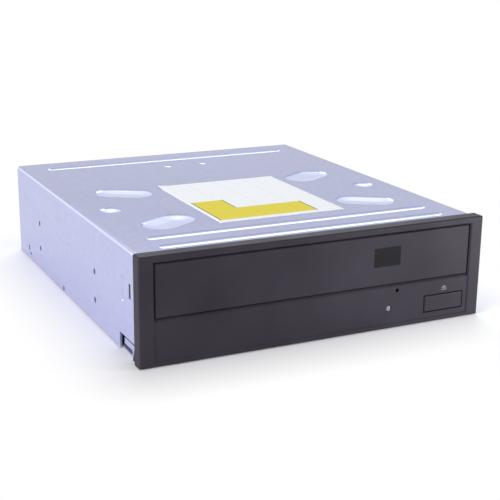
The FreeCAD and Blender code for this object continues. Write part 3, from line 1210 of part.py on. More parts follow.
def sata_socket():
    """Rear socket body: a signal mouth and a power mouth, each with its keyed tongue."""
    rear = REAR - 0.1
    front = rear - SOCKET_DEPTH
    body = block(SOCKET_LEFT, SOCKET_LEFT + SOCKET_WIDTH, front, rear, BOARD_TOP, BOARD_TOP + SOCKET_HEIGHT)
    body = rounded(body, 0.6, lambda edge: edge.BoundBox.YLength > 5 and edge.BoundBox.ZMin > BOARD_TOP + 1)
    tongue_low = tongue_height()
    for left, right in (signal_span(), power_span()):
        mouth = block(left, right, rear - 8.0, rear + 1, BOARD_TOP + 1.2, BOARD_TOP + SOCKET_HEIGHT - 1.2)
        tongue = block(left + 1.2, right - 1.2, rear - 9.0, rear - 0.8, tongue_low, tongue_low + 1.2)
        key = block(left + 1.2, left + 2.4, rear - 9.0, rear - 0.8, tongue_low, tongue_low + 2.4)
        body = joined(body.cut(mouth), tongue, key)
    return body


def socket_contacts():
    """Gold pads on the upper face of both tongues."""
    rear = REAR - 0.1
    top = tongue_height() + 1.2
    pads = []
    for (left, right), count in ((signal_span(), 7), (power_span(), 15)):
        middle = (left + 2.4 + right - 1.2) / 2
        for number in range(count):
            x = middle + (number - (count - 1) / 2) * CONTACT_PITCH
            pads.append(block(x - 0.4, x + 0.4, rear - 7.5, rear - 1.4, top, top + 0.12))
    return pads


def front_board():
    """Small board behind the bezel for the button switch and the lamp."""
    board = block(LAMP_X - 3.8, GUIDE_HALF - 0.6, FRONT_BOARD_FRONT, FRONT_FOOT_Y + 4.0,
                  FRONT_BOARD_LOW, FRONT_BOARD_TOP)
    for x, y in front_board_screw_places():
        board = board.cut(upright(1.1, x, y, 0, 20))
    return board


def front_board_screws():
    return [screw(x, y, FRONT_BOARD_LOW, 1.8, 0.9, 0.8, 3.6, -1) for x, y in front_board_screw_places()]


def button_middle():
    return (BUTTON_LEFT + BUTTON_RIGHT) / 2


def switch_front():
    """Front of the switch plunger: the button reaches it at the end of its travel."""
    return PANEL_BACK + COLLAR_DEPTH + 5.1 + BUTTON_TRAVEL + 0.15


def eject_switch():
    """Side-pressed switch with a short plunger."""
    x = button_middle()
    front = switch_front()
    body = block(x - 3.0, x + 3.0, front + 1.0, front + 4.5, FRONT_BOARD_TOP, FRONT_BOARD_TOP + 3.0)
    plunger = block(x - 1.3, x + 1.3, front, front + 1.2, FRONT_BOARD_TOP + 0.7, FRONT_BOARD_TOP + 2.4)
    return joined(body, plunger)


def eject_button():
    """Eject button: a stem towards the switch and a retaining flange that passes under the drive gear."""
    collar_end = PANEL_BACK + COLLAR_DEPTH
    cap = block(BUTTON_LEFT, BUTTON_RIGHT, PANEL_FRONT - 0.3, collar_end + 0.4, BUTTON_LOW, BUTTON_HIGH)
    cap = rounded(cap, 0.5, lambda edge: edge.BoundBox.YMax < PANEL_FRONT)
    hollow = block(BUTTON_LEFT + 1.2, BUTTON_RIGHT - 1.2, PANEL_FRONT + 1.5, collar_end + 3,
                   BUTTON_LOW + 1.2, BUTTON_HIGH - 1.2)
    flange = block(BUTTON_LEFT - 1.3, BUTTON_RIGHT + 1.3, collar_end + 0.3, collar_end + 1.5,
                   BUTTON_LOW, BUTTON_FLANGE_HIGH)
    x = button_middle()
    stem_middle = FRONT_BOARD_TOP + 1.55
    stem = block(x - 1.5, x + 1.5, PANEL_FRONT + 1.0, switch_front() - BUTTON_TRAVEL - 0.15,
                 stem_middle - 1.1, stem_middle + 1.1)
    rib = block(x - 0.6, x + 0.6, PANEL_FRONT + 1.0, collar_end + 1.5, BUTTON_LOW + 1.0, BUTTON_HIGH - 1.0)
    return joined(joined(cap, flange).cut(hollow), stem, rib)


def light_pipe():
    """Clear rod that carries the lamp's light to the front panel."""
    start = vec(LAMP_X, PANEL_FRONT + 0.1, LAMP_Z)
    pipe = rod(LAMP_RADIUS, start, vec(LAMP_X, FRONT_BOARD_FRONT + 0.1, LAMP_Z))
    pipe = rounded(pipe, 0.5, lambda edge: edge.BoundBox.YMax < PANEL_FRONT + 0.2)
    head = rod(LAMP_RADIUS + 0.7, vec(LAMP_X, PANEL_BACK + 2.6, LAMP_Z),
               vec(LAMP_X, PANEL_BACK + 3.4, LAMP_Z))
    return joined(pipe, head)


def status_lamp():
    """Lamp on the front board, behind the light pipe."""
    front = FRONT_BOARD_FRONT + 0.4
    body = block(LAMP_X - 1.5, LAMP_X + 1.5, front + 0.6, front + 2.6, FRONT_BOARD_TOP, LAMP_Z + 1.6)
    dome = rod(1.1, vec(LAMP_X, front, LAMP_Z), vec(LAMP_X, front + 0.8, LAMP_Z))
    return joined(body, dome)


os.makedirs("parts", exist_ok=True)

save("top_case", top_case())
save("bottom_cover", bottom_cover())
save("bottom_cover_screws", *bottom_cover_screws())
save("front_bezel", front_bezel())
save("main_frame", main_frame())
save("tray_rail_right", tray_rail())
save("tray_rail_left", mirrored(tray_rail()))
save("rear_crossbar", rear_crossbar())
save("clamper_bridge", clamper_bridge())
save("bridge_screws", *bridge_screws())
save("clamper", clamper())
save("clamper_magnet", clamper_magnet())
save("disc_tray", disc_tray())
save("tray_door", tray_door())
save("loading_motor", loading_motor())
save("loading_motor_screws", *[screw(x, y, MOTOR_TOP + FRAME_PLATE, 1.7, 0.8, 0.9, 3.6, 1)
                               for x, y in motor_screw_places()])
save("motor_shaft", motor_shaft())
save("motor_pulley", motor_pulley())
save("drive_belt", drive_belt())
save("pulley_gear", pulley_gear())
save("tray_drive_gear", tray_drive_gear())
save("cam_slider", cam_slider())
save("deck_frame", deck_frame())
save("rubber_dampers", *dampers())
save("damper_screws", *damper_screws())
save("traverse_plate", traverse_plate())
save("main_guide_rod", guide_rod(-ROD_X))
save("second_guide_rod", guide_rod(ROD_X))
save("spindle_motor", spindle_motor())
save("spindle_shaft", spindle_shaft())
save("spindle_rotor", spindle_rotor())
save("turntable", turntable())
save("turntable_pad", turntable_pad())
save("pickup_carriage", pickup_carriage())
save("lens_cover", lens_cover())
save("objective_lens", objective_lens())
save("feed_nut", feed_nut())
save("feed_motor", feed_motor())
save("feed_bracket", feed_bracket())
save("lead_screw", lead_screw())
save("main_board", main_board())
save("board_screws", *board_screws())
save("board_chips", *board_chips())
save("cable_sockets", *cable_sockets())
save("sata_socket", sata_socket())
save("socket_contacts", *socket_contacts())
save("front_board", front_board())
save("front_board_screws", *front_board_screws())
save("eject_switch", eject_switch())
save("eject_button", eject_button())
save("light_pipe", light_pipe())
save("status_lamp", status_lamp())
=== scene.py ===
import json
import math

import bmesh
import bpy
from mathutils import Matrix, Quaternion, Vector


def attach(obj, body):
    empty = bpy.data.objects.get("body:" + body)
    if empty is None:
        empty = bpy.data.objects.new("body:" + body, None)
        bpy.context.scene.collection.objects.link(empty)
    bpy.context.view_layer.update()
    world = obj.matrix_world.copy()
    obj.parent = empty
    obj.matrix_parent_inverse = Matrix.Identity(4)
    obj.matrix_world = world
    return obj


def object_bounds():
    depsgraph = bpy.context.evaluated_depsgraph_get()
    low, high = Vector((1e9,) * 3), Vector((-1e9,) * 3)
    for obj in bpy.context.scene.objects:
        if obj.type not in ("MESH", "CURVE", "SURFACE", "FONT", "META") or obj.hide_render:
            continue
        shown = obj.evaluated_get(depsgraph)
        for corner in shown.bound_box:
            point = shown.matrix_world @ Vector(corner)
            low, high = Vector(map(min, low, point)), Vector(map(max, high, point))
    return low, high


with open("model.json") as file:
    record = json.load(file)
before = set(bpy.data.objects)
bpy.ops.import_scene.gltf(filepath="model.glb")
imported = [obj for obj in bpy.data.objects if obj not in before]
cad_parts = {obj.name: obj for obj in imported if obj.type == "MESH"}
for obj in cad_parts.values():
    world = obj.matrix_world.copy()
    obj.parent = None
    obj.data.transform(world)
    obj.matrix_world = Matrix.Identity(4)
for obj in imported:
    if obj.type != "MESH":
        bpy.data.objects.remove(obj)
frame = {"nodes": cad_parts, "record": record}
cad_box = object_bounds()

# Sizes and places are in millimetres of the row frame, unless a docstring says metres
MM = 0.001
FRONT = cad_box[0].y / MM
CASE_TOP = 41.3
PRESSED_DEPTH = 1.0

# Colours, linear. A pair holds the dark and the light tone that a finish drifts between
WHITE = (1.0, 1.0, 1.0, 1.0)
ZINC_DARK = (0.32, 0.335, 0.51, 1.0)
ZINC_LIGHT = (0.36, 0.375, 0.55, 1.0)
# Painted highlight: the lighter tone given to the pressings and the fold just under the case top
ZINC_PAINTED_HIGHLIGHT = (0.55, 0.585, 0.79, 1.0)
BEZEL_TONES = (0.021, 0.018, 0.026, 1.0), (0.032, 0.028, 0.038, 1.0)
FRAME_TONES = (0.020, 0.020, 0.022, 1.0), (0.034, 0.034, 0.036, 1.0)
TRAY_TONES = (0.024, 0.023, 0.026, 1.0), (0.038, 0.037, 0.040, 1.0)
ACETAL_TONES = (0.66, 0.64, 0.57, 1.0), (0.76, 0.75, 0.70, 1.0)
CLAMPER_TONES = (0.60, 0.60, 0.57, 1.0), (0.70, 0.70, 0.68, 1.0)
CHIP_TONES = (0.018, 0.018, 0.020, 1.0), (0.032, 0.032, 0.035, 1.0)
SOCKET_TONES = (0.016, 0.016, 0.018, 1.0), (0.028, 0.028, 0.031, 1.0)
IVORY_TONES = (0.62, 0.58, 0.47, 1.0), (0.70, 0.67, 0.57, 1.0)
SCREW_TONES = (0.40, 0.41, 0.43, 1.0), (0.58, 0.59, 0.61, 1.0)
SHAFT_TONES = (0.58, 0.58, 0.60, 1.0), (0.70, 0.70, 0.72, 1.0)
MOTOR_TONES = (0.46, 0.47, 0.50, 1.0), (0.58, 0.59, 0.62, 1.0)
FERRITE_TONES = (0.05, 0.05, 0.055, 1.0), (0.10, 0.10, 0.105, 1.0)
SLED_TONES = (0.26, 0.26, 0.28, 1.0), (0.38, 0.38, 0.40, 1.0)
RUBBER_TONES = (0.02, 0.02, 0.021, 1.0), (0.05, 0.05, 0.052, 1.0)
GOLD_TONES = (0.72, 0.50, 0.18, 1.0), (0.90, 0.68, 0.30, 1.0)
LENS_TONES = (0.35, 0.50, 0.85, 1.0), (0.45, 0.75, 0.80, 1.0)
LIGHT_PIPE_TINT = (0.22, 0.215, 0.25, 1.0)
LAMP_TINT = (0.72, 0.82, 0.70, 1.0)
TRACK_GREEN = (0.030, 0.17, 0.075, 1.0)
MASK_GREEN = (0.012, 0.085, 0.038, 1.0)
PAD_TIN = (0.62, 0.60, 0.55, 1.0)
PAPER_WHITE = (0.96, 0.96, 0.96, 1.0)
RULE_GREY = (0.84, 0.84, 0.87, 1.0)
PRINT_YELLOW = (0.80, 0.66, 0.015, 1.0)
PRINT_BLACK = (0.06, 0.06, 0.05, 1.0)
PRINT_PALE = (0.16, 0.15, 0.18, 1.0)
PATCH_TONES = (0.003, 0.003, 0.004, 1.0), (0.006, 0.006, 0.008, 1.0)


# Materials

def fill(node, inputs):
    """The node, with some of its inputs set by name."""
    for name, value in inputs.items():
        node.inputs[name].default_value = value
    return node


def shade(colour, factor):
    """The colour made darker by a factor under 1."""
    return tuple(channel * factor for channel in colour[:3]) + (1.0,)


class Finish:
    """One procedural material, with short calls for the nodes that it is made of.

    Patterns follow Object coordinates, so the scale of a texture is in marks to the metre."""

    def __init__(self, name, roughness, metallic=0.0):
        self.material = bpy.data.materials.new(name)
        self.material.use_nodes = True
        self.nodes = self.material.node_tree.nodes
        self.links = self.material.node_tree.links
        self.shader = fill(self.nodes["Principled BSDF"], {"Roughness": roughness, "Metallic": metallic})
        self.place = self.nodes.new("ShaderNodeTexCoord").outputs["Object"]

    def stretched(self, scale):
        """Object coordinates drawn out along an axis, for brushed or dragged marks."""
        mapping = fill(self.nodes.new("ShaderNodeMapping"), {"Scale": scale})
        self.links.new(self.place, mapping.inputs["Vector"])
        return mapping.outputs["Vector"]

    def noise(self, scale, detail, place=None):
        texture = fill(self.nodes.new("ShaderNodeTexNoise"), {"Scale": scale, "Detail": detail})
        self.links.new(place or self.place, texture.inputs["Vector"])
        return texture.outputs["Fac"]

    def cells(self, scale, feature="F1", output="Color"):
        texture = self.nodes.new("ShaderNodeTexVoronoi")
        texture.feature = feature
        fill(texture, {"Scale": scale})
        self.links.new(self.place, texture.inputs["Vector"])
        return texture.outputs[output]

    def height(self, low, high):
        """0 at a low and 1 at a high level of the row frame, in millimetres."""
        axes = self.nodes.new("ShaderNodeSeparateXYZ")
        self.links.new(self.place, axes.inputs["Vector"])
        span = fill(self.nodes.new("ShaderNodeMapRange"), {"From Min": low * MM, "From Max": high * MM})
        self.links.new(axes.outputs["Z"], span.inputs["Value"])
        return span.outputs["Result"]

    def ramp(self, factor, stops):
        """Colours or greys along a factor, as (position, value) pairs."""
        ramp = self.nodes.new("ShaderNodeValToRGB")
        elements = ramp.color_ramp.elements
        while len(elements) < len(stops):
            elements.new(0.5)
        for element, (position, value) in zip(elements, stops):
            element.position = position
            element.color = value if isinstance(value, tuple) else (value, value, value, 1.0)
        self.links.new(factor, ramp.inputs["Fac"])
        return ramp.outputs["Color"]

    def drift(self, factor, low, high, tones):
        """The first of two tones up to a low level of the factor, and the second from a high one."""
        return self.ramp(factor, list(zip((low, high), tones)))

    def mixed(self, factor, first, second, blend="MIX"):
        """Two colours mixed by a factor, each of the three a value or another node's output."""
        mix = self.nodes.new("ShaderNodeMix")
        mix.data_type = "RGBA"
        mix.blend_type = blend
        for name, source in (("Factor", factor), ("A", first), ("B", second)):
            if isinstance(source, (tuple, float)):
                mix.inputs[name].default_value = source
            else:
                self.links.new(source, mix.inputs[name])
        return mix.outputs["Result"]

    def colour(self, source):
        self.links.new(source, self.shader.inputs["Base Color"])

    def rough(self, source):
        self.links.new(source, self.shader.inputs["Roughness"])

    def relief(self, source, depth, strength):
        """Bump of a depth in millimetres."""
        bump = fill(self.nodes.new("ShaderNodeBump"), {"Strength": strength, "Distance": depth * MM})
        self.links.new(source, bump.inputs["Height"])
        self.links.new(bump.outputs["Normal"], self.shader.inputs["Normal"])


def zinc_sheet():
    """Zinc-coated sheet: rolling grain along the drive, faint crystals, and slightly duller rubbed patches.

    Just under the top, where the press has drawn the stiffeners and the fold, the colour is lighter: a
    painted highlight for the light that their slopes catch."""
    finish = Finish("zinc_coated_sheet", 0.22, metallic=0.4)
    fill(finish.shader, {"Specular IOR Level": 0.05})
    crystals = finish.drift(finish.cells(420.0), 0.2, 0.9, (ZINC_DARK, ZINC_LIGHT))
    rubbed = finish.noise(14.0, 2.0)
    grain = finish.noise(900.0, 2.0, finish.stretched((1.0, 0.04, 1.0)))
    flat = finish.mixed(finish.drift(grain, 0.3, 0.7, (0.2, 0.8)), crystals, ZINC_LIGHT)
    # Painted highlight: the pressings and the fold just under the top get a lighter colour, standing in for
    # the light their slopes catch
    under_top = finish.height(CASE_TOP - PRESSED_DEPTH, CASE_TOP)
    painted_highlight = finish.ramp(under_top, [(0.0, 0.0), (0.05, 1.0), (0.60, 1.0), (0.90, 0.0)])
    finish.colour(finish.mixed(painted_highlight, flat, ZINC_PAINTED_HIGHLIGHT))
    finish.rough(finish.drift(rubbed, 0.3, 0.7, (0.20, 0.24)))
    finish.relief(grain, 0.01, 0.3)
    return finish.material


def moulded_plastic(name, tones, roughness, depth=0.04, gloss=0.5):
    """Moulded plastic with the fine spark-eroded grain of its mould, of a depth in millimetres."""
    finish = Finish(name, roughness)
    fill(finish.shader, {"Specular IOR Level": gloss})
    finish.colour(finish.drift(finish.noise(34.0, 4.0), 0.3, 0.75, tones))
    handled = finish.noise(60.0, 5.0)
    finish.rough(finish.drift(handled, 0.3, 0.75, (roughness - 0.05, roughness + 0.07)))
    finish.relief(finish.noise(2600.0, 2.0), depth, 0.6)
    return finish.material


def plain_metal(name, tones, roughness, grain_scale=(1.0, 1.0, 1.0)):
    """Metal with a grain that can be drawn out along one axis, and light handling marks."""
    finish = Finish(name, roughness, metallic=0.95)
    grain = finish.noise(1200.0, 3.0, finish.stretched(grain_scale))
    finish.colour(finish.drift(grain, 0.3, 0.7, tones))
    handled = finish.noise(150.0, 4.0)
    finish.rough(finish.drift(handled, 0.3, 0.75, (roughness - 0.06, roughness + 0.1)))
    finish.relief(grain, 0.01, 0.5)
    return finish.material


def soft_rubber():
    """Black rubber with a faint grey bloom."""
    finish = Finish("black_rubber", 0.75)
    bloom = finish.noise(300.0, 5.0)
    finish.colour(finish.drift(bloom, 0.35, 0.75, RUBBER_TONES))
    finish.relief(finish.noise(2400.0, 2.0), 0.04, 0.5)
    return finish.material


def clear_plastic(name, tint, roughness, transmission):
    """Tinted plastic that lets some light through."""
    finish = Finish(name, roughness)
    fill(finish.shader, {"Transmission Weight": transmission, "IOR": 1.49})
    finish.colour(finish.drift(finish.noise(400.0, 3.0), 0.3, 0.7, (shade(tint, 0.85), tint)))
    finish.relief(finish.noise(700.0, 2.0), 0.01, 0.3)
    return finish.material


def lens_glass():
    """Coated lens: a faint blue-green film that shifts over the dome."""
    finish = Finish("coated_lens", 0.04)
    fill(finish.shader, {"Transmission Weight": 0.6, "Coat Weight": 0.8, "Coat Roughness": 0.03})
    film = finish.noise(500.0, 2.0)
    finish.colour(finish.drift(film, 0.3, 0.7, LENS_TONES))
    return finish.material


def board_laminate():
    """Green solder mask over copper tracks, with a few bare pads."""
    finish = Finish("green_board", 0.35)
    tracks = finish.cells(260.0, "DISTANCE_TO_EDGE", "Distance")
    mask = finish.drift(tracks, 0.06, 0.12, (TRACK_GREEN, MASK_GREEN))
    pads = finish.drift(finish.cells(620.0, "F1", "Distance"), 0.10, 0.14, (1.0, 0.0))
    chosen = finish.drift(finish.noise(90.0, 2.0), 0.58, 0.62, (0.0, 1.0))
    bare = finish.mixed(1.0, pads, chosen, "MULTIPLY")
    finish.colour(finish.mixed(bare, mask, PAD_TIN))
    finish.relief(tracks, 0.03, 0.4)
    return finish.material


def gold_plate():
    """Gold-plated contacts, worn a little duller where they rub."""
    finish = Finish("gold_contact", 0.25, metallic=1.0)
    wear = finish.noise(1600.0, 3.0)
    finish.colour(finish.drift(wear, 0.3, 0.7, GOLD_TONES))
    finish.rough(finish.drift(wear, 0.3, 0.8, (0.2, 0.34)))
    return finish.material


RULE_WIDTH, RULE_HEIGHT, RULE_LINE = 13.8, 4.4, 0.16


def label_paper():
    """White coated paper with a fibre grain and faint blank ruled boxes."""
    finish = Finish("label_paper", 0.6)
    fill(finish.shader, {"Specular IOR Level": 0.15})
    rules = fill(finish.nodes.new("ShaderNodeTexBrick"), {
        "Scale": 1.0, "Brick Width": RULE_WIDTH * MM, "Row Height": RULE_HEIGHT * MM,
        "Mortar Size": RULE_LINE * MM, "Mortar Smooth": 0.3,
        "Color1": WHITE, "Color2": WHITE, "Mortar": RULE_GREY})
    rules.offset = 0.0
    finish.links.new(finish.place, rules.inputs["Vector"])
    fibres = finish.drift(finish.noise(1500.0, 4.0), 0.3, 0.7, (shade(PAPER_WHITE, 0.96), PAPER_WHITE))
    finish.colour(finish.mixed(1.0, fibres, rules.outputs["Color"], "MULTIPLY"))
    finish.relief(finish.noise(900.0, 4.0), 0.02, 0.5)
    return finish.material


def printed_ink(name, colour, darkest):
    """Ink that is darker in places, down to a share of its colour."""
    finish = Finish(name, 0.6)
    fill(finish.shader, {"Specular IOR Level": 0.15})
    finish.colour(finish.drift(finish.noise(1200.0, 3.0), 0.3, 0.7, (shade(colour, darkest), colour)))
    finish.relief(finish.noise(900.0, 4.0), 0.02, 0.5)
    return finish.material


SLOT_FINISHES = {
    "galvanised_steel": zinc_sheet(),
    "bezel_black": moulded_plastic("charcoal_bezel", BEZEL_TONES, 0.5, gloss=0.10),
    "frame_plastic": moulded_plastic("black_frame", FRAME_TONES, 0.55),
    "tray_plastic": moulded_plastic("black_tray", TRAY_TONES, 0.48),
    "gear_plastic": moulded_plastic("acetal", ACETAL_TONES, 0.38, depth=0.01),
    "clamper_plastic": moulded_plastic("clamper_white", CLAMPER_TONES, 0.42),
    "screw_steel": plain_metal("zinc_screw", SCREW_TONES, 0.34),
    "shaft_steel": plain_metal("ground_shaft", SHAFT_TONES, 0.2, grain_scale=(1.0, 0.1, 1.0)),
    "motor_steel": plain_metal("motor_can", MOTOR_TONES, 0.3),
    "magnet": plain_metal("ferrite", FERRITE_TONES, 0.55),
    "rubber": soft_rubber(),
    "carriage_metal": plain_metal("cast_sled", SLED_TONES, 0.5),
    "lens_glass": lens_glass(),
    "clear_plastic": clear_plastic("light_pipe", LIGHT_PIPE_TINT, 0.4, transmission=0.2),
    "lamp_plastic": clear_plastic("lamp_body", LAMP_TINT, 0.2, transmission=0.3),
    "board_green": board_laminate(),
    "chip_black": moulded_plastic("chip_epoxy", CHIP_TONES, 0.6),
    "socket_plastic": moulded_plastic("black_socket", SOCKET_TONES, 0.45),
    "ivory_plastic": moulded_plastic("ivory_socket", IVORY_TONES, 0.45),
    "gold_contact": gold_plate(),
}

slot_of_node = {part["node"]: part["material_slot"] for part in frame["record"]["subparts"]}
for node, node_object in frame["nodes"].items():
    node_object.data.materials.clear()
    node_object.data.materials.append(SLOT_FINISHES[slot_of_node[node]])


# The label

def piece(name, mesh, materials, body):
    """A new piece at the origin, riding on a body, with a material slot where one fits."""
    data = bpy.data.meshes.new(name)
    mesh.to_mesh(data)
    mesh.free()
    for material in materials:
        data.materials.append(material)
    made = bpy.data.objects.new(name, data)
    bpy.context.scene.collection.objects.link(made)
    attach(made, body)


LABEL_LEFT, LABEL_RIGHT = -27.2, 29.0
LABEL_FRONT, LABEL_REAR = FRONT + 34.0, FRONT + 101.5
LABEL_THICKNESS, LABEL_GLUE = 0.12, 0.02
LABEL_COLUMNS, LABEL_ROWS = 18, 22
LIFTED_REACH, LIFTED_HEIGHT = 7.0, 0.5
YELLOW_LEFT, YELLOW_STEP, YELLOW_RIGHT = -25.6, -11.0, 18.5
YELLOW_FRONT, YELLOW_REAR, YELLOW_STEP_REAR = FRONT + 37.3, FRONT + 53.5, FRONT + 68.0
YELLOW_BORDER = 0.5
YELLOW, BORDER = 1, 2


def cut_lines(mesh, axis, places):
    """Cuts the mesh across an axis at each place."""
    direction = Vector((1, 0, 0)) if axis == "x" else Vector((0, 1, 0))
    for place in places:
        everything = mesh.verts[:] + mesh.edges[:] + mesh.faces[:]
        bmesh.ops.bisect_plane(mesh, geom=everything, plane_co=direction * place * MM, plane_no=direction)


def in_yellow(x, y, inset):
    """True inside the L-shaped yellow panel, drawn in by inset at its left, its step and its right end."""
    band = YELLOW_LEFT + inset < x < YELLOW_RIGHT - inset and YELLOW_FRONT < y < YELLOW_REAR
    block = YELLOW_LEFT + inset < x < YELLOW_STEP - inset and YELLOW_FRONT < y < YELLOW_STEP_REAR
    return band or block


def label():
    """Paper label on the case, with a blank yellow panel and one corner that has begun to lift."""
    mesh = bmesh.new()
    bmesh.ops.create_grid(mesh, x_segments=LABEL_COLUMNS, y_segments=LABEL_ROWS, size=0.5 * MM)
    width, depth = LABEL_RIGHT - LABEL_LEFT, LABEL_REAR - LABEL_FRONT
    bmesh.ops.scale(mesh, vec=(width, depth, 1), verts=mesh.verts)
    middle = Vector(((LABEL_LEFT + LABEL_RIGHT) / 2, (LABEL_FRONT + LABEL_REAR) / 2, 0)) * MM
    bmesh.ops.translate(mesh, vec=middle, verts=mesh.verts)
    cut_lines(mesh, "x", [YELLOW_LEFT, YELLOW_LEFT + YELLOW_BORDER, YELLOW_STEP - YELLOW_BORDER,
                          YELLOW_STEP, YELLOW_RIGHT - YELLOW_BORDER, YELLOW_RIGHT])
    cut_lines(mesh, "y", [YELLOW_FRONT, YELLOW_REAR, YELLOW_STEP_REAR])
    for face in mesh.faces:
        x, y = face.calc_center_median().xy / MM
        if in_yellow(x, y, YELLOW_BORDER):
            face.material_index = YELLOW
        elif in_yellow(x, y, 0.0):
            face.material_index = BORDER
    for vert in mesh.verts:
        x, y = vert.co.xy / MM
        lift = max(0.0, LIFTED_REACH - math.hypot(x - LABEL_LEFT, y - LABEL_REAR)) / LIFTED_REACH
        vert.co.z = (CASE_TOP + LABEL_GLUE + LIFTED_HEIGHT * lift ** 2) * MM
    bmesh.ops.solidify(mesh, geom=mesh.faces[:], thickness=-LABEL_THICKNESS * MM)
    bmesh.ops.recalc_face_normals(mesh, faces=mesh.faces)
    return mesh


label_materials = [label_paper(), printed_ink("label_yellow", PRINT_YELLOW, 0.92),
                   printed_ink("label_border", PRINT_BLACK, 0.5)]
piece("label", label(), label_materials, "housing")


# Prints on the door and on the bezel under it, whose faces lie in one plane

PRINTED_FACE = FRONT + 0.5
INK_THICKNESS = 0.03
PATCH_LEFT, PATCH_RIGHT = 23.2, 35.3
PATCH_LOW, PATCH_HIGH = 26.0, 33.8
MARK_MIDDLE, MARK_WIDTH = 57.0, 2.6
MARK_LOW, MARK_BAR_HIGH, MARK_TRIANGLE_LOW, MARK_HIGH = 12.7, 13.15, 13.55, 14.7


def ink_patch(left, right, low, high):
    """A rectangle of ink that stands on the printed face."""
    mesh = bmesh.new()
    bmesh.ops.create_cube(mesh, size=MM)
    bmesh.ops.scale(mesh, vec=(right - left, INK_THICKNESS, high - low), verts=mesh.verts)
    middle = Vector(((left + right) / 2, PRINTED_FACE - INK_THICKNESS / 2, (low + high) / 2)) * MM
    bmesh.ops.translate(mesh, vec=middle, verts=mesh.verts)
    return mesh


def eject_mark():
    """A small printed triangle over a bar, above the eject button."""
    left, right = MARK_MIDDLE - MARK_WIDTH / 2, MARK_MIDDLE + MARK_WIDTH / 2
    mesh = ink_patch(left, right, MARK_LOW, MARK_BAR_HIGH)
    corners = ((left, MARK_TRIANGLE_LOW), (right, MARK_TRIANGLE_LOW), (MARK_MIDDLE, MARK_HIGH))
    outline = [mesh.verts.new(Vector((x, PRINTED_FACE, z)) * MM) for x, z in corners]
    triangle = mesh.faces.new(outline)
    raised = bmesh.ops.extrude_face_region(mesh, geom=[triangle])
    upper = [item for item in raised["geom"] if isinstance(item, bmesh.types.BMVert)]
    bmesh.ops.translate(mesh, vec=(0.0, -INK_THICKNESS * MM, 0.0), verts=upper)
    bmesh.ops.recalc_face_normals(mesh, faces=mesh.faces)
    return mesh


dark_patch = ink_patch(PATCH_LEFT, PATCH_RIGHT, PATCH_LOW, PATCH_HIGH)
patch_ink = moulded_plastic("patch_ink", PATCH_TONES, 0.4, gloss=0.1)
piece("door_dark_patch", dark_patch, [patch_ink], "tray")

mark_ink = printed_ink("mark_ink", PRINT_PALE, 0.8)
piece("eject_mark", eject_mark(), [mark_ink], "housing")


# Camera

CAMERA_AZIMUTH = 26.08
CAMERA_ELEVATION = 16.33
CAMERA_ROLL = 0.70
CAMERA_DISTANCE = 400.53 * MM
CAMERA_TARGET = Vector((-30.80, FRONT, 39.84)) * MM
FOCAL_PIXELS = 1100.66
FRAME_PIXELS = 500.0
SENSOR = 36.0


def photo_camera():
    """The camera, aimed at a point on the bezel's front from angles in degrees."""
    azimuth, elevation = math.radians(CAMERA_AZIMUTH), math.radians(CAMERA_ELEVATION)
    forward = Vector((math.sin(azimuth) * math.cos(elevation), math.cos(azimuth) * math.cos(elevation),
                      -math.sin(elevation)))
    lens = bpy.data.cameras.new("photo_camera")
    lens.sensor_width = SENSOR
    lens.lens = SENSOR * FOCAL_PIXELS / FRAME_PIXELS
    lens.clip_start = 0.01
    lens.clip_end = 50.0
    camera = bpy.data.objects.new("photo_camera", lens)
    camera.location = CAMERA_TARGET - forward * CAMERA_DISTANCE
    camera.rotation_mode = "QUATERNION"
    roll = Quaternion((0.0, 0.0, 1.0), math.radians(CAMERA_ROLL))
    camera.rotation_quaternion = forward.to_track_quat("-Z", "Y") @ roll
    bpy.context.scene.collection.objects.link(camera)
    bpy.context.scene.camera = camera


photo_camera()


# Light, floor and background

DRIVE_MIDDLE = Vector((0.0, 0.0, 20.0)) * MM
SURROUNDINGS = (0.87, 0.91, 1.0, 1.0)
FLOOR_PALE = (0.95, 0.95, 0.95, 1.0)
FLOOR_HALF = 4000.0
FLOOR_DROP = 0.3
SHADOW_REACH = 30.0


def area_light(name, place, size, power, colour=(1.0, 1.0, 1.0)):
    """A soft lamp aimed at the middle of the drive, with its place, width and height in metres."""
    lamp = bpy.data.lights.new(name, "AREA")
    lamp.shape = "RECTANGLE"
    lamp.size, lamp.size_y = size
    lamp.energy = power
    lamp.color = colour
    holder = bpy.data.objects.new(name, lamp)
    holder.location = place
    holder.rotation_mode = "QUATERNION"
    aim = DRIVE_MIDDLE - Vector(place)
    holder.rotation_quaternion = aim.to_track_quat("-Z", "Y")
    bpy.context.scene.collection.objects.link(holder)


def background_rays(nodes, links):
    """1 for rays that show the background: straight ones, and those by way of metal or glass."""
    path = nodes.new("ShaderNodeLightPath")
    seen = path.outputs["Is Camera Ray"]
    for way in ("Is Glossy Ray", "Is Transmission Ray"):
        either = nodes.new("ShaderNodeMath")
        either.operation = "MAXIMUM"
        links.new(seen, either.inputs[0])
        links.new(path.outputs[way], either.inputs[1])
        seen = either.outputs[0]
    return seen


def shown_instead(nodes, links, share, plain, shown):
    """The plain shader, with the shown one in its place for a share of 1."""
    mix = nodes.new("ShaderNodeMixShader")
    links.new(share, mix.inputs[0])
    links.new(plain.outputs[0], mix.inputs[1])
    links.new(shown.outputs[0], mix.inputs[2])
    return mix.outputs[0]


def studio_world():
    """Even bluish-white surroundings, pure white to the camera and in reflections."""
    world = bpy.data.worlds.new("studio")
    bpy.context.scene.world = world
    world.use_nodes = True
    nodes, links = world.node_tree.nodes, world.node_tree.links
    light = fill(nodes["Background"], {"Color": SURROUNDINGS, "Strength": 0.3})
    white = fill(nodes.new("ShaderNodeBackground"), {"Color": WHITE, "Strength": 1.0})
    surface = shown_instead(nodes, links, background_rays(nodes, links), light, white)
    links.new(surface, nodes["World Output"].inputs["Surface"])


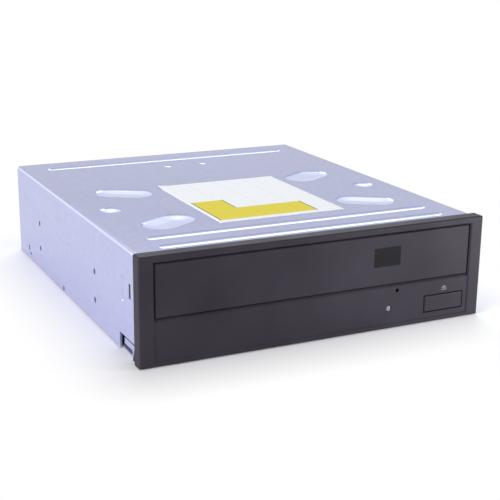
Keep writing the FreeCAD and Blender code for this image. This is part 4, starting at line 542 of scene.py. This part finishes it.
def beside_drive(nodes, links):
    """How far a point of the floor lies outside the drive's outline, in metres."""
    outward = nodes.new("ShaderNodeTexCoord").outputs["Object"]
    half_drive = (cad_box[1].x, -cad_box[0].y, 1.0)
    for operation, value in (("ABSOLUTE", None), ("SUBTRACT", half_drive), ("MAXIMUM", (0.0, 0.0, 0.0))):
        step = nodes.new("ShaderNodeVectorMath")
        step.operation = operation
        links.new(outward, step.inputs[0])
        if value:
            step.inputs[1].default_value = value
        outward = step.outputs["Vector"]
    away = nodes.new("ShaderNodeVectorMath")
    away.operation = "LENGTH"
    links.new(outward, away.inputs[0])
    return away.outputs["Value"]


def floor_paint():
    """Pale paint that keeps the shadow round the drive's foot and fades to white further out."""
    material = bpy.data.materials.new("floor_white")
    material.use_nodes = True
    nodes, links = material.node_tree.nodes, material.node_tree.links
    paint = fill(nodes["Principled BSDF"], {"Base Color": FLOOR_PALE, "Roughness": 0.9})
    glow = fill(nodes.new("ShaderNodeEmission"), {"Strength": 1.0})
    fade = fill(nodes.new("ShaderNodeMapRange"), {"From Min": 0.0, "From Max": SHADOW_REACH * MM})
    links.new(beside_drive(nodes, links), fade.inputs["Value"])
    seen = nodes.new("ShaderNodeMath")
    seen.operation = "MULTIPLY"
    links.new(fade.outputs["Result"], seen.inputs[0])
    links.new(background_rays(nodes, links), seen.inputs[1])
    surface = shown_instead(nodes, links, seen.outputs[0], paint, glow)
    links.new(surface, nodes["Material Output"].inputs["Surface"])
    return material


def studio_floor():
    """A wide floor just under the drive, which isn't part of it."""
    mesh = bmesh.new()
    bmesh.ops.create_grid(mesh, x_segments=1, y_segments=1, size=FLOOR_HALF * MM)
    bmesh.ops.translate(mesh, vec=(0.0, 0.0, -FLOOR_DROP * MM), verts=mesh.verts)
    data = bpy.data.meshes.new("floor")
    mesh.to_mesh(data)
    mesh.free()
    data.materials.append(floor_paint())
    floor = bpy.data.objects.new("floor", data)
    bpy.context.scene.collection.objects.link(floor)


area_light("key_left", place=(-1.2, -0.45, 0.36), size=(0.9, 0.9), power=24.5, colour=(1.0, 0.98, 0.98))
area_light("near_right", place=(0.23, -0.25, 0.04), size=(0.08, 0.06), power=0.85)
area_light("back_high", place=(0.42, 0.86, 0.90), size=(0.95, 0.75), power=8.7, colour=(0.89, 0.95, 1.0))
studio_world()
studio_floor()

bpy.context.scene.view_settings.view_transform = "Standard"
